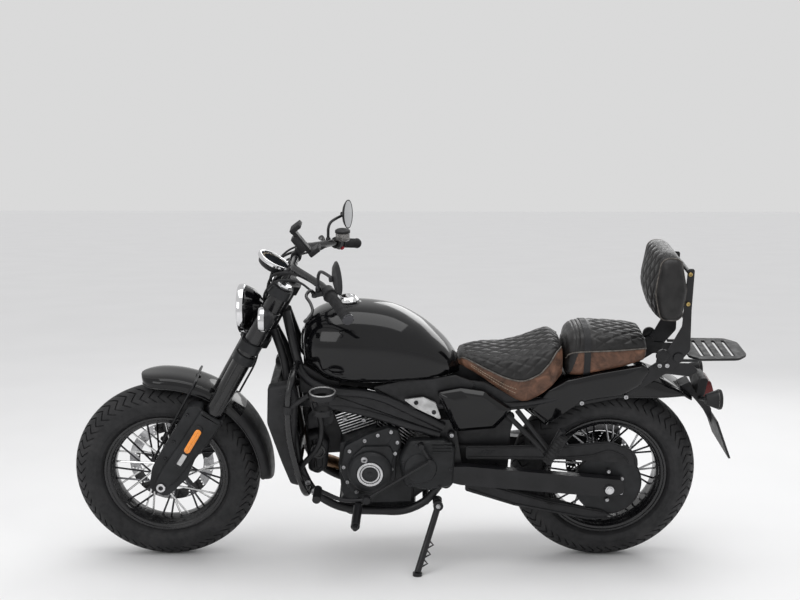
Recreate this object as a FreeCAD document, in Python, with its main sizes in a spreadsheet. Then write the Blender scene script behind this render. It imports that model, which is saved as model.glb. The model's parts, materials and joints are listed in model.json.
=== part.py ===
"""A light cruiser motorcycle, parked on its side stand.

Every piece is drawn on an upright bike and then leaned onto the stand:
x runs along the bike with the front wheel at -x, y runs across it with the
rider's left at -y, and z is up from the floor. Lengths are in millimetres.
Pieces that turn with the handlebar are drawn in the steering frame, whose z
runs up the steering axis and whose x points to the rear.
"""
import FreeCAD, Part
import math
import os
import Sketcher
from FreeCAD import Placement, Rotation, Vector

# name, value, what it measures
SIZES = [
    ("lean", 12.0, "lean to the left on the side stand, degrees"),
    ("centre_shift_x", -65.06, "moves the whole bike along, so that its box is centred"),
    ("centre_shift_y", 186.36, "moves the whole bike across, so that its box is centred"),
    ("wheelbase", 1512.0, "front axle to rear axle"),
    ("wheel_radius", 320.0, "outer radius of both tyres"),
    ("crown_mean", 70.0, "mean crown radius of the tyres, the line the bike leans about"),
    ("bead_radius", 203.0, "where the tyres sit on the rims"),
    ("flange_radius", 214.0, "top of the rim flanges"),
    ("rim_bore", 181.0, "inside of the rim, between the spokes"),
    ("front_tyre_half", 65.0, "half the width of the front tyre"),
    ("rear_tyre_half", 75.0, "half the width of the rear tyre"),
    ("front_bead_half", 44.0, "half the width between the front beads"),
    ("rear_bead_half", 54.0, "half the width between the rear beads"),
    ("rim_wall", 5.0, "thickness of a rim flange"),
    ("hub_radius", 30.0, "hub barrel"),
    ("hub_flange_radius", 50.0, "hub flanges that hold the spokes"),
    ("hub_half", 60.0, "half the length of a hub"),
    ("spoke_flange", 31.0, "spoke flange from the middle of the hub"),
    ("spoke_radius", 2.2, "wire spokes"),
    ("spoke_count", 36.0, "spokes in each wheel"),
    ("spoke_lead", 48.0, "turn of a spoke between hub and rim, degrees"),
    ("axle_radius", 10.0, "both axles"),
    ("axle_clearance", 0.05, "running clearance in the hubs"),
    ("disc_radius", 148.0, "front brake disc"),
    ("disc_inner", 112.0, "inside of the front braking band"),
    ("disc_thickness", 5.0, "both discs"),
    ("disc_plane", 62.5, "middle of the front disc from the middle of the bike"),
    ("rear_disc_radius", 118.0, "rear brake disc"),
    ("rake", 29.0, "steering axis back from upright, degrees"),
    ("trail", 110.0, "steering axis ahead of the front contact on the floor"),
    ("fork_spread", 108.0, "each fork leg from the middle of the bike"),
    ("fork_offset", 23.0, "fork legs ahead of the steering axis"),
    ("stanchion_radius", 24.0, "lower, thinner fork tube"),
    ("fork_tube_radius", 30.0, "upper, thicker fork tube"),
    ("fork_tube_start", 872.0, "lower end of the upper fork tube, along the axis"),
    ("fork_top", 1156.0, "top of the fork tubes, along the axis"),
    ("casting_inner", 79.0, "inner face of the fork's foot"),
    ("casting_width", 56.0, "width of the fork's foot"),
    ("casting_top", 652.0, "top of the fork's foot, along the axis"),
    ("lower_yoke", 905.0, "underside of the lower yoke, along the axis"),
    ("upper_yoke", 1118.0, "underside of the upper yoke, along the axis"),
    ("yoke_height", 32.0, "thickness of the yokes"),
    ("stem_radius", 15.0, "steering stem"),
    ("head_radius", 29.0, "outside of the frame's head tube"),
    ("head_gap", 0.5, "head tube to each yoke"),
    ("front_fender_radius", 368.0, "outside of the front fender from the axle"),
    ("front_fender_half", 77.0, "half the width of the front fender"),
    ("rear_fender_radius", 392.0, "outside of the rear fender"),
    ("rear_fender_half", 96.0, "half the width of the rear fender"),
    ("fender_wall", 3.0, "thickness of the fenders"),
    ("fender_skirt", 36.0, "depth of a fender from crown to hem"),
    ("lamp_radius", 82.0, "headlamp rim"),
    ("lamp_height", 910.0, "middle of the headlamp above the floor"),
    ("lamp_front", -486.0, "front of the headlamp rim"),
    ("gauge_radius", 58.0, "instrument housing"),
    ("gauge_depth", 34.0, "depth of the instrument housing"),
    ("signal_radius", 38.0, "front turn signals"),
    ("bar_radius", 11.0, "handlebar tube"),
    ("bar_thread_radius", 4.0, "threaded hole in each bar end"),
    ("bar_thread_depth", 25.0, "threaded hole in each bar end"),
    ("grip_radius", 17.0, "handlebar grips"),
    ("grip_length", 125.0, "handlebar grips"),
    ("mirror_radius", 52.0, "mirror heads"),
    ("tube_radius", 15.0, "main frame tubes"),
    ("cradle_radius", 14.0, "lower frame tubes"),
    ("rail_radius", 12.0, "seat rails"),
    ("guard_radius", 11.0, "engine guards"),
    ("seat_gap", 0.3, "between a piece and what it is fixed to"),
    ("tank_floor", 690.0, "underside of the tank"),
    ("cap_radius", 34.0, "filler cap"),
    ("crank_x", -50.0, "crankshaft"),
    ("crank_z", 389.0, "crankshaft"),
    ("front_bank", 20.0, "front cylinder ahead of upright, degrees"),
    ("rear_bank", 38.0, "rear cylinder behind upright, degrees"),
    ("fin_count", 8.0, "cooling fins on each cylinder"),
    ("fin_pitch", 10.0, "spacing of the fins"),
    ("fin_half", 60.0, "half the width of a cylinder's fins"),
    ("case_half", 112.0, "half the width of the crankcase"),
    ("deck", 110.0, "cylinder decks from the crankshaft"),
    ("header_radius", 22.0, "exhaust pipes"),
    ("muffler_radius", 50.0, "silencer"),
    ("pivot_x", 214.0, "swingarm pivot"),
    ("pivot_z", 374.0, "swingarm pivot"),
    ("arm_inner", 126.0, "inner face of a swingarm leg"),
    ("arm_width", 28.0, "width of a swingarm leg"),
    ("pulley_plane", 102.0, "middle of the drive belt from the middle of the bike"),
    ("belt_width", 22.0, "drive belt"),
    ("rear_pulley_radius", 112.0, "rear belt pulley"),
    ("front_pulley_radius", 38.0, "front belt pulley"),
    ("belt_thickness", 5.0, "drive belt"),
    ("belt_gap", 0.4, "belt to the pulley that turns under it"),
    ("stand_radius", 11.0, "side stand leg"),
]

doc = FreeCAD.newDocument("CruiserMotorcycle")
nodes = []


class Size:
    """A length that knows its value and the sheet expression behind it."""

    def __init__(self, value, text):
        self.value = float(value)
        self.text = text

    def __float__(self):
        return self.value

    def joined(self, mark, other, value):
        return Size(value, "(%s %s %s)" % (self.text, mark, written(other)))

    def __add__(self, other):
        return self.joined("+", other, self.value + float(other))

    def __sub__(self, other):
        return self.joined("-", other, self.value - float(other))

    def __mul__(self, other):
        return self.joined("*", other, self.value * float(other))

    def __truediv__(self, other):
        return self.joined("/", other, self.value / float(other))

    def __radd__(self, other):
        return Size(float(other) + self.value, "(%s + %s)" % (written(other), self.text))

    def __rsub__(self, other):
        return Size(float(other) - self.value, "(%s - %s)" % (written(other), self.text))

    def __rmul__(self, other):
        return self * other

    def __neg__(self):
        return self * -1.0


def written(number):
    """The text of a size or of a plain number in an expression."""
    return number.text if isinstance(number, Size) else "%.6f" % float(number)


class Sheet:
    """The driving sizes: every row of the table becomes an aliased cell."""

    def __init__(self, rows):
        cells = doc.addObject("Spreadsheet::Sheet", "Sizes")
        for row, (name, value, note) in enumerate(rows, start=1):
            cells.set("A%d" % row, name)
            cells.set("B%d" % row, "%g" % value)
            cells.set("C%d" % row, note)
            cells.setAlias("B%d" % row, name)
        doc.recompute()
        for name, value, note in rows:
            setattr(self, name, Size(cells.get(name), "Sizes." + name))


S = Sheet(SIZES)
HALF_BASE = S.wheelbase / 2
RAKE = float(S.rake)
STEER = Placement(Vector(-float(HALF_BASE) - float(S.trail), 0, 0), Rotation(Vector(0, 1, 0), RAKE))
LEAN = Placement(Vector(float(S.centre_shift_x), float(S.centre_shift_y), float(S.crown_mean)),
                 Rotation(Vector(1, 0, 0), float(S.lean)))
LEAN = LEAN.multiply(Placement(Vector(0, 0, -float(S.crown_mean)), Rotation()))
FRONT_AXLE = Vector(-float(HALF_BASE), 0, float(S.wheel_radius))
REAR_AXLE = Vector(float(HALF_BASE), 0, float(S.wheel_radius))


def spot(*numbers):
    """A point from sizes and plain numbers."""
    return Vector(*[float(number) for number in numbers])


def steered(x, y, along):
    """A point of the steering frame, on the upright bike."""
    return STEER.multVec(spot(x, y, along))


def in_steering(point):
    """A point of the upright bike, in the steering frame."""
    return STEER.inverse().multVec(point)


def bind(thing, **sizes):
    """Set lengths of an object and tie each to its cells."""
    for prop, size in sizes.items():
        setattr(thing, prop, float(size))
        if isinstance(size, Size):
            thing.setExpression(prop, size.text)


def node(name, thing, place=None):
    """Name a finished sub-part and lean it with the bike."""
    thing.Label = name
    thing.Placement = LEAN.multiply(place or thing.Placement)
    nodes.append(thing)
    return thing


def bar(name, start, end, radius, end_radius=None):
    """A round bar between two points, or a cone when its ends differ."""
    line = Vector(end) - Vector(start)
    if end_radius is None:
        thing = doc.addObject("Part::Cylinder", name)
        bind(thing, Radius=radius)
    else:
        thing = doc.addObject("Part::Cone", name)
        bind(thing, Radius1=radius, Radius2=end_radius)
    thing.Height = line.Length
    thing.Placement = Placement(Vector(start), Rotation(Vector(0, 0, 1), line))
    return thing


def block(name, centre, sizes, turn=None):
    """A box about its centre, turned about it."""
    thing = doc.addObject("Part::Box", name)
    bind(thing, Length=sizes[0], Width=sizes[1], Height=sizes[2])
    half = spot(*sizes) * 0.5
    turn = turn or Rotation()
    thing.Placement = Placement(Vector(centre) - turn.multVec(half), turn)
    return thing



def joined(name, things):
    """Several pieces welded into one solid."""
    thing = doc.addObject("Part::MultiFuse", name)
    thing.Shapes = things
    return thing


def grouped(name, things):
    """Separate solids of one sub-part that do not touch."""
    thing = doc.addObject("Part::Compound", name)
    thing.Links = things
    return thing


def less(name, base, tools):
    """A piece with others cut out of it."""
    for step, tool in enumerate(tools):
        cut = doc.addObject("Part::Cut", "%s_%d" % (name, step))
        cut.Base = base
        cut.Tool = tool
        base = cut
    return base


def mirrored(thing):
    """The same piece on the other side of the bike."""
    other = doc.addObject("Part::Mirroring", thing.Name + "_right")
    other.Source = thing
    other.Base = Vector(0, 0, 0)
    other.Normal = Vector(0, 1, 0)
    return other


def corner_arc(before, corner, after, radius):
    """Tangent points and middle of the arc that rounds a corner."""
    back = (before - corner).normalize()
    ahead = (after - corner).normalize()
    half_turn = back.getAngle(ahead) / 2
    reach = radius / math.tan(half_turn)
    middle_way = (back + ahead).normalize()
    middle = corner + middle_way * (radius / math.sin(half_turn) - radius)
    return corner + back * reach, middle, corner + ahead * reach


def widest_radius(before, corner, after, share):
    """Largest radius whose tangent points keep to a share of both sides."""
    shorter = min((before - corner).Length, (after - corner).Length)
    half_turn = (before - corner).getAngle(after - corner) / 2
    return share * shorter * math.tan(half_turn)


def path(name, points, share=0.45, closed=False):
    """Straight runs joined by tangent arcs, as one wire."""
    points = [Vector(point) for point in points]
    count = len(points)
    corners = range(count) if closed else range(1, count - 1)
    bends = {}
    for k in corners:
        before, corner, after = points[k - 1], points[k], points[(k + 1) % count]
        bends[k] = corner_arc(before, corner, after, widest_radius(before, corner, after, share))
    edges = []
    for k in range(count if closed else count - 1):
        n = (k + 1) % count
        start = bends[k][2] if k in bends else points[k]
        end = bends[n][0] if n in bends else points[n]
        edges.append(Part.makeLine(start, end))
        if n in bends:
            edges.append(Part.Arc(*bends[n]).toShape())
    thing = doc.addObject("Part::Feature", name)
    thing.Shape = Part.Wire(edges)
    return thing


def pipe(name, points, radius, share=0.45):
    """A round tube along straight runs and tangent arcs."""
    spine = path(name + "_path", points, share)
    ring = doc.addObject("Part::Circle", name + "_ring")
    bind(ring, Radius=radius)
    first = Vector(points[0])
    ring.Placement = Placement(first, Rotation(Vector(0, 0, 1), Vector(points[1]) - first))
    tube = doc.addObject("Part::Sweep", name)
    tube.Sections = [ring]
    tube.Spine = (spine, ["Edge%d" % k for k in range(1, len(spine.Shape.Edges) + 1)])
    tube.Solid = True
    tube.Frenet = False
    return tube


def new_body(name):
    return doc.addObject("PartDesign::Body", name)


def sketch_on(body, role, offset=0):
    """An empty sketch on one of the body's own planes, moved along its normal."""
    name = "%s_sketch_%d" % (body.Name, len(body.Group))
    drawing = body.newObject("Sketcher::SketchObject", name)
    plane = [item for item in body.Origin.OriginFeatures if item.Role == role][0]
    drawing.AttachmentSupport = [(plane, "")]
    drawing.MapMode = "FlatFace"
    drawing.AttachmentOffset = Placement(Vector(0, 0, float(offset)), Rotation())
    if isinstance(offset, Size):
        drawing.setExpression("AttachmentOffset.Base.z", offset.text)
    return drawing


def tie(drawing, edge, end, across, up):
    """Hold one end of an edge at two sizes from the sketch's origin."""
    for kind, size in (("DistanceX", across), ("DistanceY", up)):
        if isinstance(size, Size):
            index = drawing.addConstraint(Sketcher.Constraint(kind, -1, 1, edge, end, float(size)))
            drawing.setExpression("Constraints[%d]" % index, size.text)


def outline(drawing, corners):
    """Draw a closed outline: (across, up, radius) rounds a corner by that radius.

    A radius of zero keeps it sharp and ties it to its sizes, and a negative one
    is a share of the shorter side, so -0.4 is a generous round.
    """
    flat = [spot(corner[0], corner[1], 0) for corner in corners]
    count = len(flat)
    rounds = {}
    for k, corner in enumerate(corners):
        radius = float(corner[2]) if len(corner) > 2 else 0.0
        before, here, after = flat[k - 1], flat[k], flat[(k + 1) % count]
        if radius < 0:
            radius = widest_radius(before, here, after, -radius)
        if radius > 0:
            rounds[k] = corner_arc(before, here, after, radius)
    for k in range(count):
        n = (k + 1) % count
        start = rounds[k][2] if k in rounds else flat[k]
        end = rounds[n][0] if n in rounds else flat[n]
        edge = drawing.addGeometry(Part.LineSegment(start, end), False)
        if k not in rounds:
            tie(drawing, edge, 1, corners[k][0], corners[k][1])
        if n not in rounds:
            tie(drawing, edge, 2, corners[n][0], corners[n][1])
        if n in rounds:
            drawing.addGeometry(Part.Arc(*rounds[n]), False)
    return drawing


def circle(drawing, across, up, radius):
    ring = drawing.addGeometry(Part.Circle(spot(across, up, 0), Vector(0, 0, 1), float(radius)), False)
    index = drawing.addConstraint(Sketcher.Constraint("Radius", ring, float(radius)))
    if isinstance(radius, Size):
        drawing.setExpression("Constraints[%d]" % index, radius.text)


def pad(body, drawing, depth, midplane=False, reverse=False):
    thing = body.newObject("PartDesign::Pad", body.Name + "_pad_%d" % len(body.Group))
    thing.Profile = drawing
    bind(thing, Length=depth)
    thing.Midplane = midplane
    thing.Reversed = reverse
    return thing


def pocket(body, drawing, depth, midplane=False, reverse=False):
    thing = body.newObject("PartDesign::Pocket", body.Name + "_pocket_%d" % len(body.Group))
    thing.Profile = drawing
    bind(thing, Length=depth)
    thing.Midplane = midplane
    thing.Reversed = reverse
    return thing


def turned(body, drawing, angle=360.0, axis="H_Axis"):
    """Spin a sketch about one of its own axes."""
    thing = body.newObject("PartDesign::Revolution", body.Name + "_turned_%d" % len(body.Group))
    thing.Profile = drawing
    thing.ReferenceAxis = (drawing, [axis])
    thing.Angle = float(angle)
    return thing


def repeat_round(body, feature, axis_role, count):
    """Copy a feature evenly about one of the body's axes."""
    pattern = body.newObject("PartDesign::PolarPattern", body.Name + "_pattern_%d" % len(body.Group))
    pattern.Originals = [feature]
    axis = [item for item in body.Origin.OriginFeatures if item.Role == axis_role][0]
    pattern.Axis = (axis, [""])
    pattern.Angle = 360
    pattern.Occurrences = int(count)
    body.Tip = pattern
    return pattern


def plate(name, corners, depth, start, holes=()):
    """A flat piece seen from the side: padded from y = start towards +y."""
    body = new_body(name)
    drawing = outline(sketch_on(body, "XZ_Plane", -float(start)), corners)
    for across, up, radius in holes:
        circle(drawing, across, up, radius)
    pad(body, drawing, depth, reverse=True)
    return body


def lofted(name, role, sections):
    """A smooth body through closed sections: (offset, corners) each."""
    body = new_body(name)
    drawings = [outline(sketch_on(body, role, offset), corners) for offset, corners in sections]
    doc.recompute()
    thing = body.newObject("PartDesign::AdditiveLoft", name + "_loft")
    thing.Profile = drawings[0]
    thing.Sections = drawings[1:]
    return body


def tyre(name, half, bead_half, centre):
    """A tyre with a round crown, spun about the axle."""
    body = new_body(name)
    drawing = sketch_on(body, "YZ_Plane")
    outer, bead, flange = float(S.wheel_radius), float(S.bead_radius), float(S.flange_radius) + 1
    wide, seat = float(half), float(bead_half)
    shoulder = outer - wide
    wall = (seat + wide) / 2 + 6, (flange + shoulder) / 2 - 7

    def arc(start, middle, end):
        drawing.addGeometry(Part.Arc(*[spot(y, r, 0) for y, r in (start, middle, end)]), False)

    def line(start, end):
        drawing.addGeometry(Part.LineSegment(spot(*start, 0), spot(*end, 0)), False)

    line((-seat, bead), (-seat, flange))
    arc((-seat, flange), (-wall[0], wall[1]), (-wide, shoulder))
    arc((-wide, shoulder), (0, outer), (wide, shoulder))
    arc((wide, shoulder), (wall[0], wall[1]), (seat, flange))
    line((seat, flange), (seat, bead))
    line((seat, bead), (-seat, bead))
    turned(body, drawing)
    return node(name, body, Placement(centre, Rotation()))


def wire_wheel(name, bead_half, centre):
    """Rim, hub and crossed wire spokes, laced together."""
    rim = new_body(name + "_rim")
    seat, wall = bead_half, S.rim_wall
    outline(sketch_on(rim, "YZ_Plane"), [
        (-seat - wall, S.flange_radius), (-seat, S.flange_radius), (-seat, S.bead_radius),
        (seat, S.bead_radius), (seat, S.flange_radius), (seat + wall, S.flange_radius),
        (seat + wall, S.bead_radius - 4), (seat - 6, S.rim_bore + 5), (seat - 20, S.rim_bore),
        (-seat + 20, S.rim_bore), (-seat + 6, S.rim_bore + 5), (-seat - wall, S.bead_radius - 4)])
    turned(rim, rim.Group[0])
    hub = new_body(name + "_hub")
    bore = S.axle_radius + S.axle_clearance
    flange, barrel = S.hub_flange_radius, S.hub_radius
    near, far, end = S.spoke_flange - 4, S.spoke_flange + 4, S.hub_half
    outline(sketch_on(hub, "YZ_Plane"), [
        (-end, bore), (-end, barrel - 4), (-far, barrel - 4), (-far, flange), (-near, flange),
        (-near, barrel), (near, barrel), (near, flange), (far, flange), (far, barrel - 4),
        (end, barrel - 4), (end, bore)])
    turned(hub, hub.Group[0])
    pieces = [rim, hub]
    count = int(float(S.spoke_count))
    for k in range(count):
        side = 1 if k % 2 else -1
        lead = float(S.spoke_lead) * (1 if k % 4 < 2 else -1)
        level = float(S.spoke_flange) + (3 if lead > 0 else -3)
        outer_turn = math.radians(360.0 * k / count)
        inner_turn = outer_turn + math.radians(lead)
        inner_radius, outer_radius = float(flange) - 6, float(S.rim_bore) + 3
        start = spot(inner_radius * math.sin(inner_turn), side * level, inner_radius * math.cos(inner_turn))
        finish = spot(outer_radius * math.sin(outer_turn), side * 8, outer_radius * math.cos(outer_turn))
        pieces.append(bar("%s_spoke_%d" % (name, k), start, finish, S.spoke_radius))
    return node(name, joined(name, pieces), Placement(centre, Rotation()))


def brake_disc(name, radius, inner, plane, centre):
    """A drilled disc on a five-armed carrier."""
    body = new_body(name)
    near = -plane + S.disc_thickness / -2
    ring = sketch_on(body, "XZ_Plane", near)
    circle(ring, 0, 0, radius)
    circle(ring, 0, 0, inner)
    pad(body, ring, S.disc_thickness)
    centre_ring = sketch_on(body, "XZ_Plane", near)
    circle(centre_ring, 0, 0, 40)
    circle(centre_ring, 0, 0, 20)
    pad(body, centre_ring, S.disc_thickness)
    arm = sketch_on(body, "XZ_Plane", near)
    outline(arm, [(-9, 36), (9, 36), (6, inner + 5), (-6, inner + 5)])
    arms = pad(body, arm, S.disc_thickness)
    repeat_round(body, arms, "Y_Axis", 5)
    holes = sketch_on(body, "XZ_Plane", near)
    band = (float(radius) - float(inner)) / 3
    for step, shift in ((0.6, -5), (1.5, 0), (2.4, 5)):
        circle(holes, shift, float(inner) + band * step, 3.2)
    drilled = pocket(body, holes, S.disc_thickness * 2, midplane=True)
    repeat_round(body, drilled, "Y_Axis", 14)
    return node(name, body, Placement(centre, Rotation()))


def fender_shell(name, radius, half, centre, start, sweep):
    """A curved mudguard: an arched section swept about the axle."""
    body = new_body(name)
    wall, skirt = S.fender_wall, S.fender_skirt
    drawing = outline(sketch_on(body, "YZ_Plane"), [
        (-half, radius - skirt), (-half, radius, -0.42), (half, radius, -0.42), (half, radius - skirt),
        (half - wall, radius - skirt), (half - wall, radius - wall, -0.42),
        (-half + wall, radius - wall, -0.42), (-half + wall, radius - skirt)])
    turned(body, drawing, sweep)
    body.Placement = Placement(centre, Rotation(Vector(0, 1, 0), start))
    return body


def wheels():
    tyre("front_tyre", S.front_tyre_half, S.front_bead_half, FRONT_AXLE)
    tyre("rear_tyre", S.rear_tyre_half, S.rear_bead_half, REAR_AXLE)
    wire_wheel("front_wheel_rim", S.front_bead_half, FRONT_AXLE)
    wire_wheel("rear_wheel_rim", S.rear_bead_half, REAR_AXLE)
    brake_disc("front_disc", S.disc_radius, S.disc_inner, S.disc_plane, FRONT_AXLE)
    brake_disc("rear_disc", S.rear_disc_radius, S.rear_disc_radius - 36, S.disc_plane, REAR_AXLE)


def rear_pulley():
    """Toothed belt pulley on its drum, bolted to the left of the hub."""
    body = new_body("rear_pulley")
    bore, drum = S.axle_radius + 4, 62
    inner, outer = -S.pulley_plane - S.belt_width / 2, -S.pulley_plane + S.belt_width / 2
    outline(sketch_on(body, "YZ_Plane"), [
        (inner, bore), (inner, S.rear_pulley_radius), (outer, S.rear_pulley_radius),
        (outer, drum), (-S.hub_half, drum), (-S.hub_half, bore)])
    turned(body, body.Group[0])
    node("rear_pulley", body, Placement(REAR_AXLE, Rotation()))


def axles():
    """Each axle with its spacers and nuts."""
    clear = 0.5
    front = [bar("front_axle_bar", spot(0, -130, 0), spot(0, 130, 0), S.axle_radius),
             bar("front_axle_left", spot(0, -S.casting_inner, 0), spot(0, -S.hub_half - clear, 0), 16),
             bar("front_axle_right", spot(0, S.disc_plane + 3, 0), spot(0, S.casting_inner, 0), 16)]
    node("front_axle", joined("front_axle", front), Placement(FRONT_AXLE, Rotation()))
    outer = S.arm_inner + S.arm_width
    belt_side = S.pulley_plane + S.belt_width / 2 + clear
    rear = [bar("rear_axle_bar", spot(0, -outer - 16, 0), spot(0, outer + 16, 0), S.axle_radius),
            bar("rear_axle_left", spot(0, -S.arm_inner, 0), spot(0, -belt_side, 0), 17),
            bar("rear_axle_right", spot(0, S.disc_plane + 3, 0), spot(0, S.arm_inner, 0), 17),
            bar("rear_nut_left", spot(0, -outer - 12, 0), spot(0, -outer, 0), 15),
            bar("rear_nut_right", spot(0, outer, 0), spot(0, outer + 12, 0), 15)]
    node("rear_axle", joined("rear_axle", rear), Placement(REAR_AXLE, Rotation()))


def fork_foot():
    """The left fork's cast foot, outlined beside the wheel and notched for the tube."""
    corners = [(-92, 303, 28), (-117, 380, 60), (-107, 640, 20), (-62, 656, 12), (-52, 612, 16), (-2, 604, 12),
               (2, 646, 4), (18, 650, 6), (12, 560, 60), (-4, 480, 60), (4, 400, 40), (-26, 303, 28)]
    body = plate("fork_foot", corners, S.casting_width, -S.casting_inner - S.casting_width)
    foot = less("fork_foot_bored", body, [
        bar("fork_foot_axle", spot(0, -200, 0) + in_steering(FRONT_AXLE), in_steering(FRONT_AXLE),
            S.axle_radius + S.axle_clearance),
        bar("fork_foot_tube", spot(-S.fork_offset, -S.fork_spread, 540),
            spot(-S.fork_offset, -S.fork_spread, 700), S.stanchion_radius)])
    return foot


def forks():
    """Both legs: cast feet, thin lower tubes, thick upper tubes and their caps."""
    x, y = -S.fork_offset, -S.fork_spread
    leg = joined("fork_leg", [
        fork_foot(),
        bar("stanchion", spot(x, y, 540), spot(x, y, S.fork_tube_start), S.stanchion_radius),
        bar("fork_ring", spot(x, y, S.fork_tube_start), spot(x, y, S.fork_tube_start + 14),
            S.fork_tube_radius + 2),
        bar("fork_tube", spot(x, y, S.fork_tube_start + 14), spot(x, y, S.fork_top), S.fork_tube_radius),
        bar("fork_cap", spot(x, y, S.fork_top), spot(x, y, S.fork_top + 8), S.fork_tube_radius - 6)])
    node("forks", grouped("forks", [leg, mirrored(leg)]), STEER)


def yokes():
    """Lower and upper yokes, clamped round the fork tubes and joined by the stem."""
    width = S.fork_spread + S.fork_tube_radius + 8
    pieces = []
    for name, level, front in (("lower_yoke", S.lower_yoke, -34), ("upper_yoke", S.upper_yoke, -54)):
        body = new_body(name)
        drawing = outline(sketch_on(body, "XY_Plane", level), [
            (-62, -width, 20), (6, -width, 24), (14, -100, 20), (8, -56, 20), (34, -24, 14), (34, 24, 14),
            (8, 56, 20), (14, 100, 20), (6, width, 24), (-62, width, 20), (-62, 76, 6), (front, 62, 6),
            (front, -62, 6), (-62, -76, 6)])
        for side in (-1, 1):
            circle(drawing, -S.fork_offset, side * float(S.fork_spread), S.fork_tube_radius)
        pad(body, drawing, S.yoke_height)
        pieces.append(body)
    pieces.append(bar("steering_stem", spot(0, 0, S.lower_yoke), spot(0, 0, S.upper_yoke + S.yoke_height + 8),
                      S.stem_radius))
    node("yokes", joined("yokes", pieces), STEER)


def front_fender():
    """The fender and the bent rod that holds its top, running down ahead of the fork's feet."""
    shell = fender_shell("front_fender_shell", S.front_fender_radius, S.front_fender_half, FRONT_AXLE, -9, 101)
    rod = [steered(-124, side * 84, along) for side, along in ((-1, 384), (-1, 700.6), (1, 700.6), (1, 384))]
    lug = bar("stay_lug", steered(-122, 0, 694), steered(-122, 0, 704), 9)
    node("front_fender", joined("front_fender", [shell, pipe("fender_stay", rod, 4, 0.08), lug]))


def headlamp():
    """Round lamp: rim, bowl and the two feet that stand on the lower yoke."""
    body = new_body("headlamp_bowl")
    rim, front = S.lamp_radius, S.lamp_front
    outline(sketch_on(body, "XY_Plane", 0), [
        (front, 0), (front, rim - 8, 5), (front + 4, rim, 3), (front + 20, rim, 3), (front + 22, rim - 5),
        (front + 48, 64, 14), (front + 68, 42, 14), (front + 86, 18, 8), (front + 86, 0)])
    turned(body, body.Group[0], axis="H_Axis")
    body.Placement = Placement(spot(0, 0, S.lamp_height), Rotation())
    base = S.lower_yoke + S.yoke_height + S.seat_gap
    pieces = [body]
    for side in (-1, 1):
        foot = steered(-26, side * 46, base)
        knee = steered(-26, side * 46, base + 6)
        pieces.append(bar("lamp_foot_%d" % (side + 1), foot, steered(-26, side * 46, base + 10), 7))
        pieces.append(bar("lamp_leg_%d" % (side + 1), knee, spot(-440, side * 36, 884), 6))
    room = bar("head_room", steered(0, 0, base), steered(0, 0, S.upper_yoke), S.head_radius + S.seat_gap)
    node("headlamp", less("headlamp_fitted", joined("headlamp_whole", pieces), [room]))


def gauge():
    """Round instrument, tipped towards the rider, on a stalk from the upper yoke."""
    tip = Rotation(Vector(0, 1, 0), 30)
    centre = spot(-371, 0, 1065)
    axis = tip.multVec(Vector(0, 0, 1))
    low = centre - axis * (float(S.gauge_depth) / 2)
    high = centre + axis * (float(S.gauge_depth) / 2)
    foot = S.upper_yoke + S.yoke_height + S.seat_gap
    pieces = [bar("gauge_case", low, high, S.gauge_radius * 0.8, S.gauge_radius),
              bar("gauge_rim", high - axis * 8, high, S.gauge_radius + 1.5),
              bar("gauge_foot", steered(-26, 0, foot), steered(-26, 0, foot + 14), 8),
              bar("gauge_stalk", steered(-26, 0, foot + 9), centre, 8)]
    node("gauge", joined("gauge", pieces))


def front_signals():
    """Round lamps beside the fork tubes, on stalks from clamps round the tubes."""
    centre = spot(-380, -190, 935)
    x, y, level = -S.fork_offset, -S.fork_spread, 1052
    clamp = less("signal_clamp", bar("signal_collar", steered(x, y, level - 11), steered(x, y, level + 11),
                                     S.fork_tube_radius + 5),
                 [bar("signal_bore", steered(x, y, level - 20), steered(x, y, level + 20),
                      S.fork_tube_radius + S.seat_gap)])
    lamp = joined("front_signal", [
        bar("signal_lens", centre + Vector(-28, 0, 0), centre + Vector(-18, 0, 0), S.signal_radius),
        bar("signal_shell", centre + Vector(-18, 0, 0), centre + Vector(24, 0, 0), S.signal_radius,
            S.signal_radius * 0.45),
        bar("signal_stalk", steered(x, y - S.fork_tube_radius - 2.5, level), centre, 8), clamp])
    node("front_signals", grouped("front_signals", [lamp, mirrored(lamp)]))


# half of the handlebar: the flat middle's end, the outer bend and the tip
BAR = [(-294, 120, 1087), (-186, 262, 1066), (-108, 430, 1018)]
BAR_BEND = 0.1
GRIP_ROOM = 0.23


def bar_point(share):
    """A point of the left outer stretch, from where the grip's room begins to the tip."""
    bend, tip = Vector(*BAR[1]), Vector(*BAR[2])
    bend.y, tip.y = -bend.y, -tip.y
    return bend + (tip - bend) * (GRIP_ROOM + (1 - GRIP_ROOM) * share)


def handlebar():
    """One bent tube on two risers, with a threaded hole in each end."""
    half = [Vector(x, -y, z) for x, y, z in reversed(BAR)]
    other = [Vector(x, y, z) for x, y, z in BAR]
    tube = pipe("bar_tube", half + other, S.bar_radius, BAR_BEND)
    foot = float(S.upper_yoke + S.yoke_height + S.seat_gap)
    risers = []
    for k, side in enumerate((-1, 1)):
        top = in_steering(spot(BAR[0][0], side * 56, BAR[0][2]))
        risers.append(bar("riser_%d" % k, steered(top.x, top.y, foot), steered(top.x, top.y, top.z), 13))
    whole = joined("handlebar_solid", [tube] + risers)
    holes = []
    for side in (-1, 1):
        tip, bend = Vector(*BAR[2]), Vector(*BAR[1])
        way = (tip - bend).normalize()
        tip.y, way.y = side * tip.y, side * way.y
        holes.append(bar("bar_thread_%d" % (side + 2), tip - way * float(S.bar_thread_depth), tip + way,
                         S.bar_thread_radius))
    node("handlebar", less("handlebar_bored", whole, holes))


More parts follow.
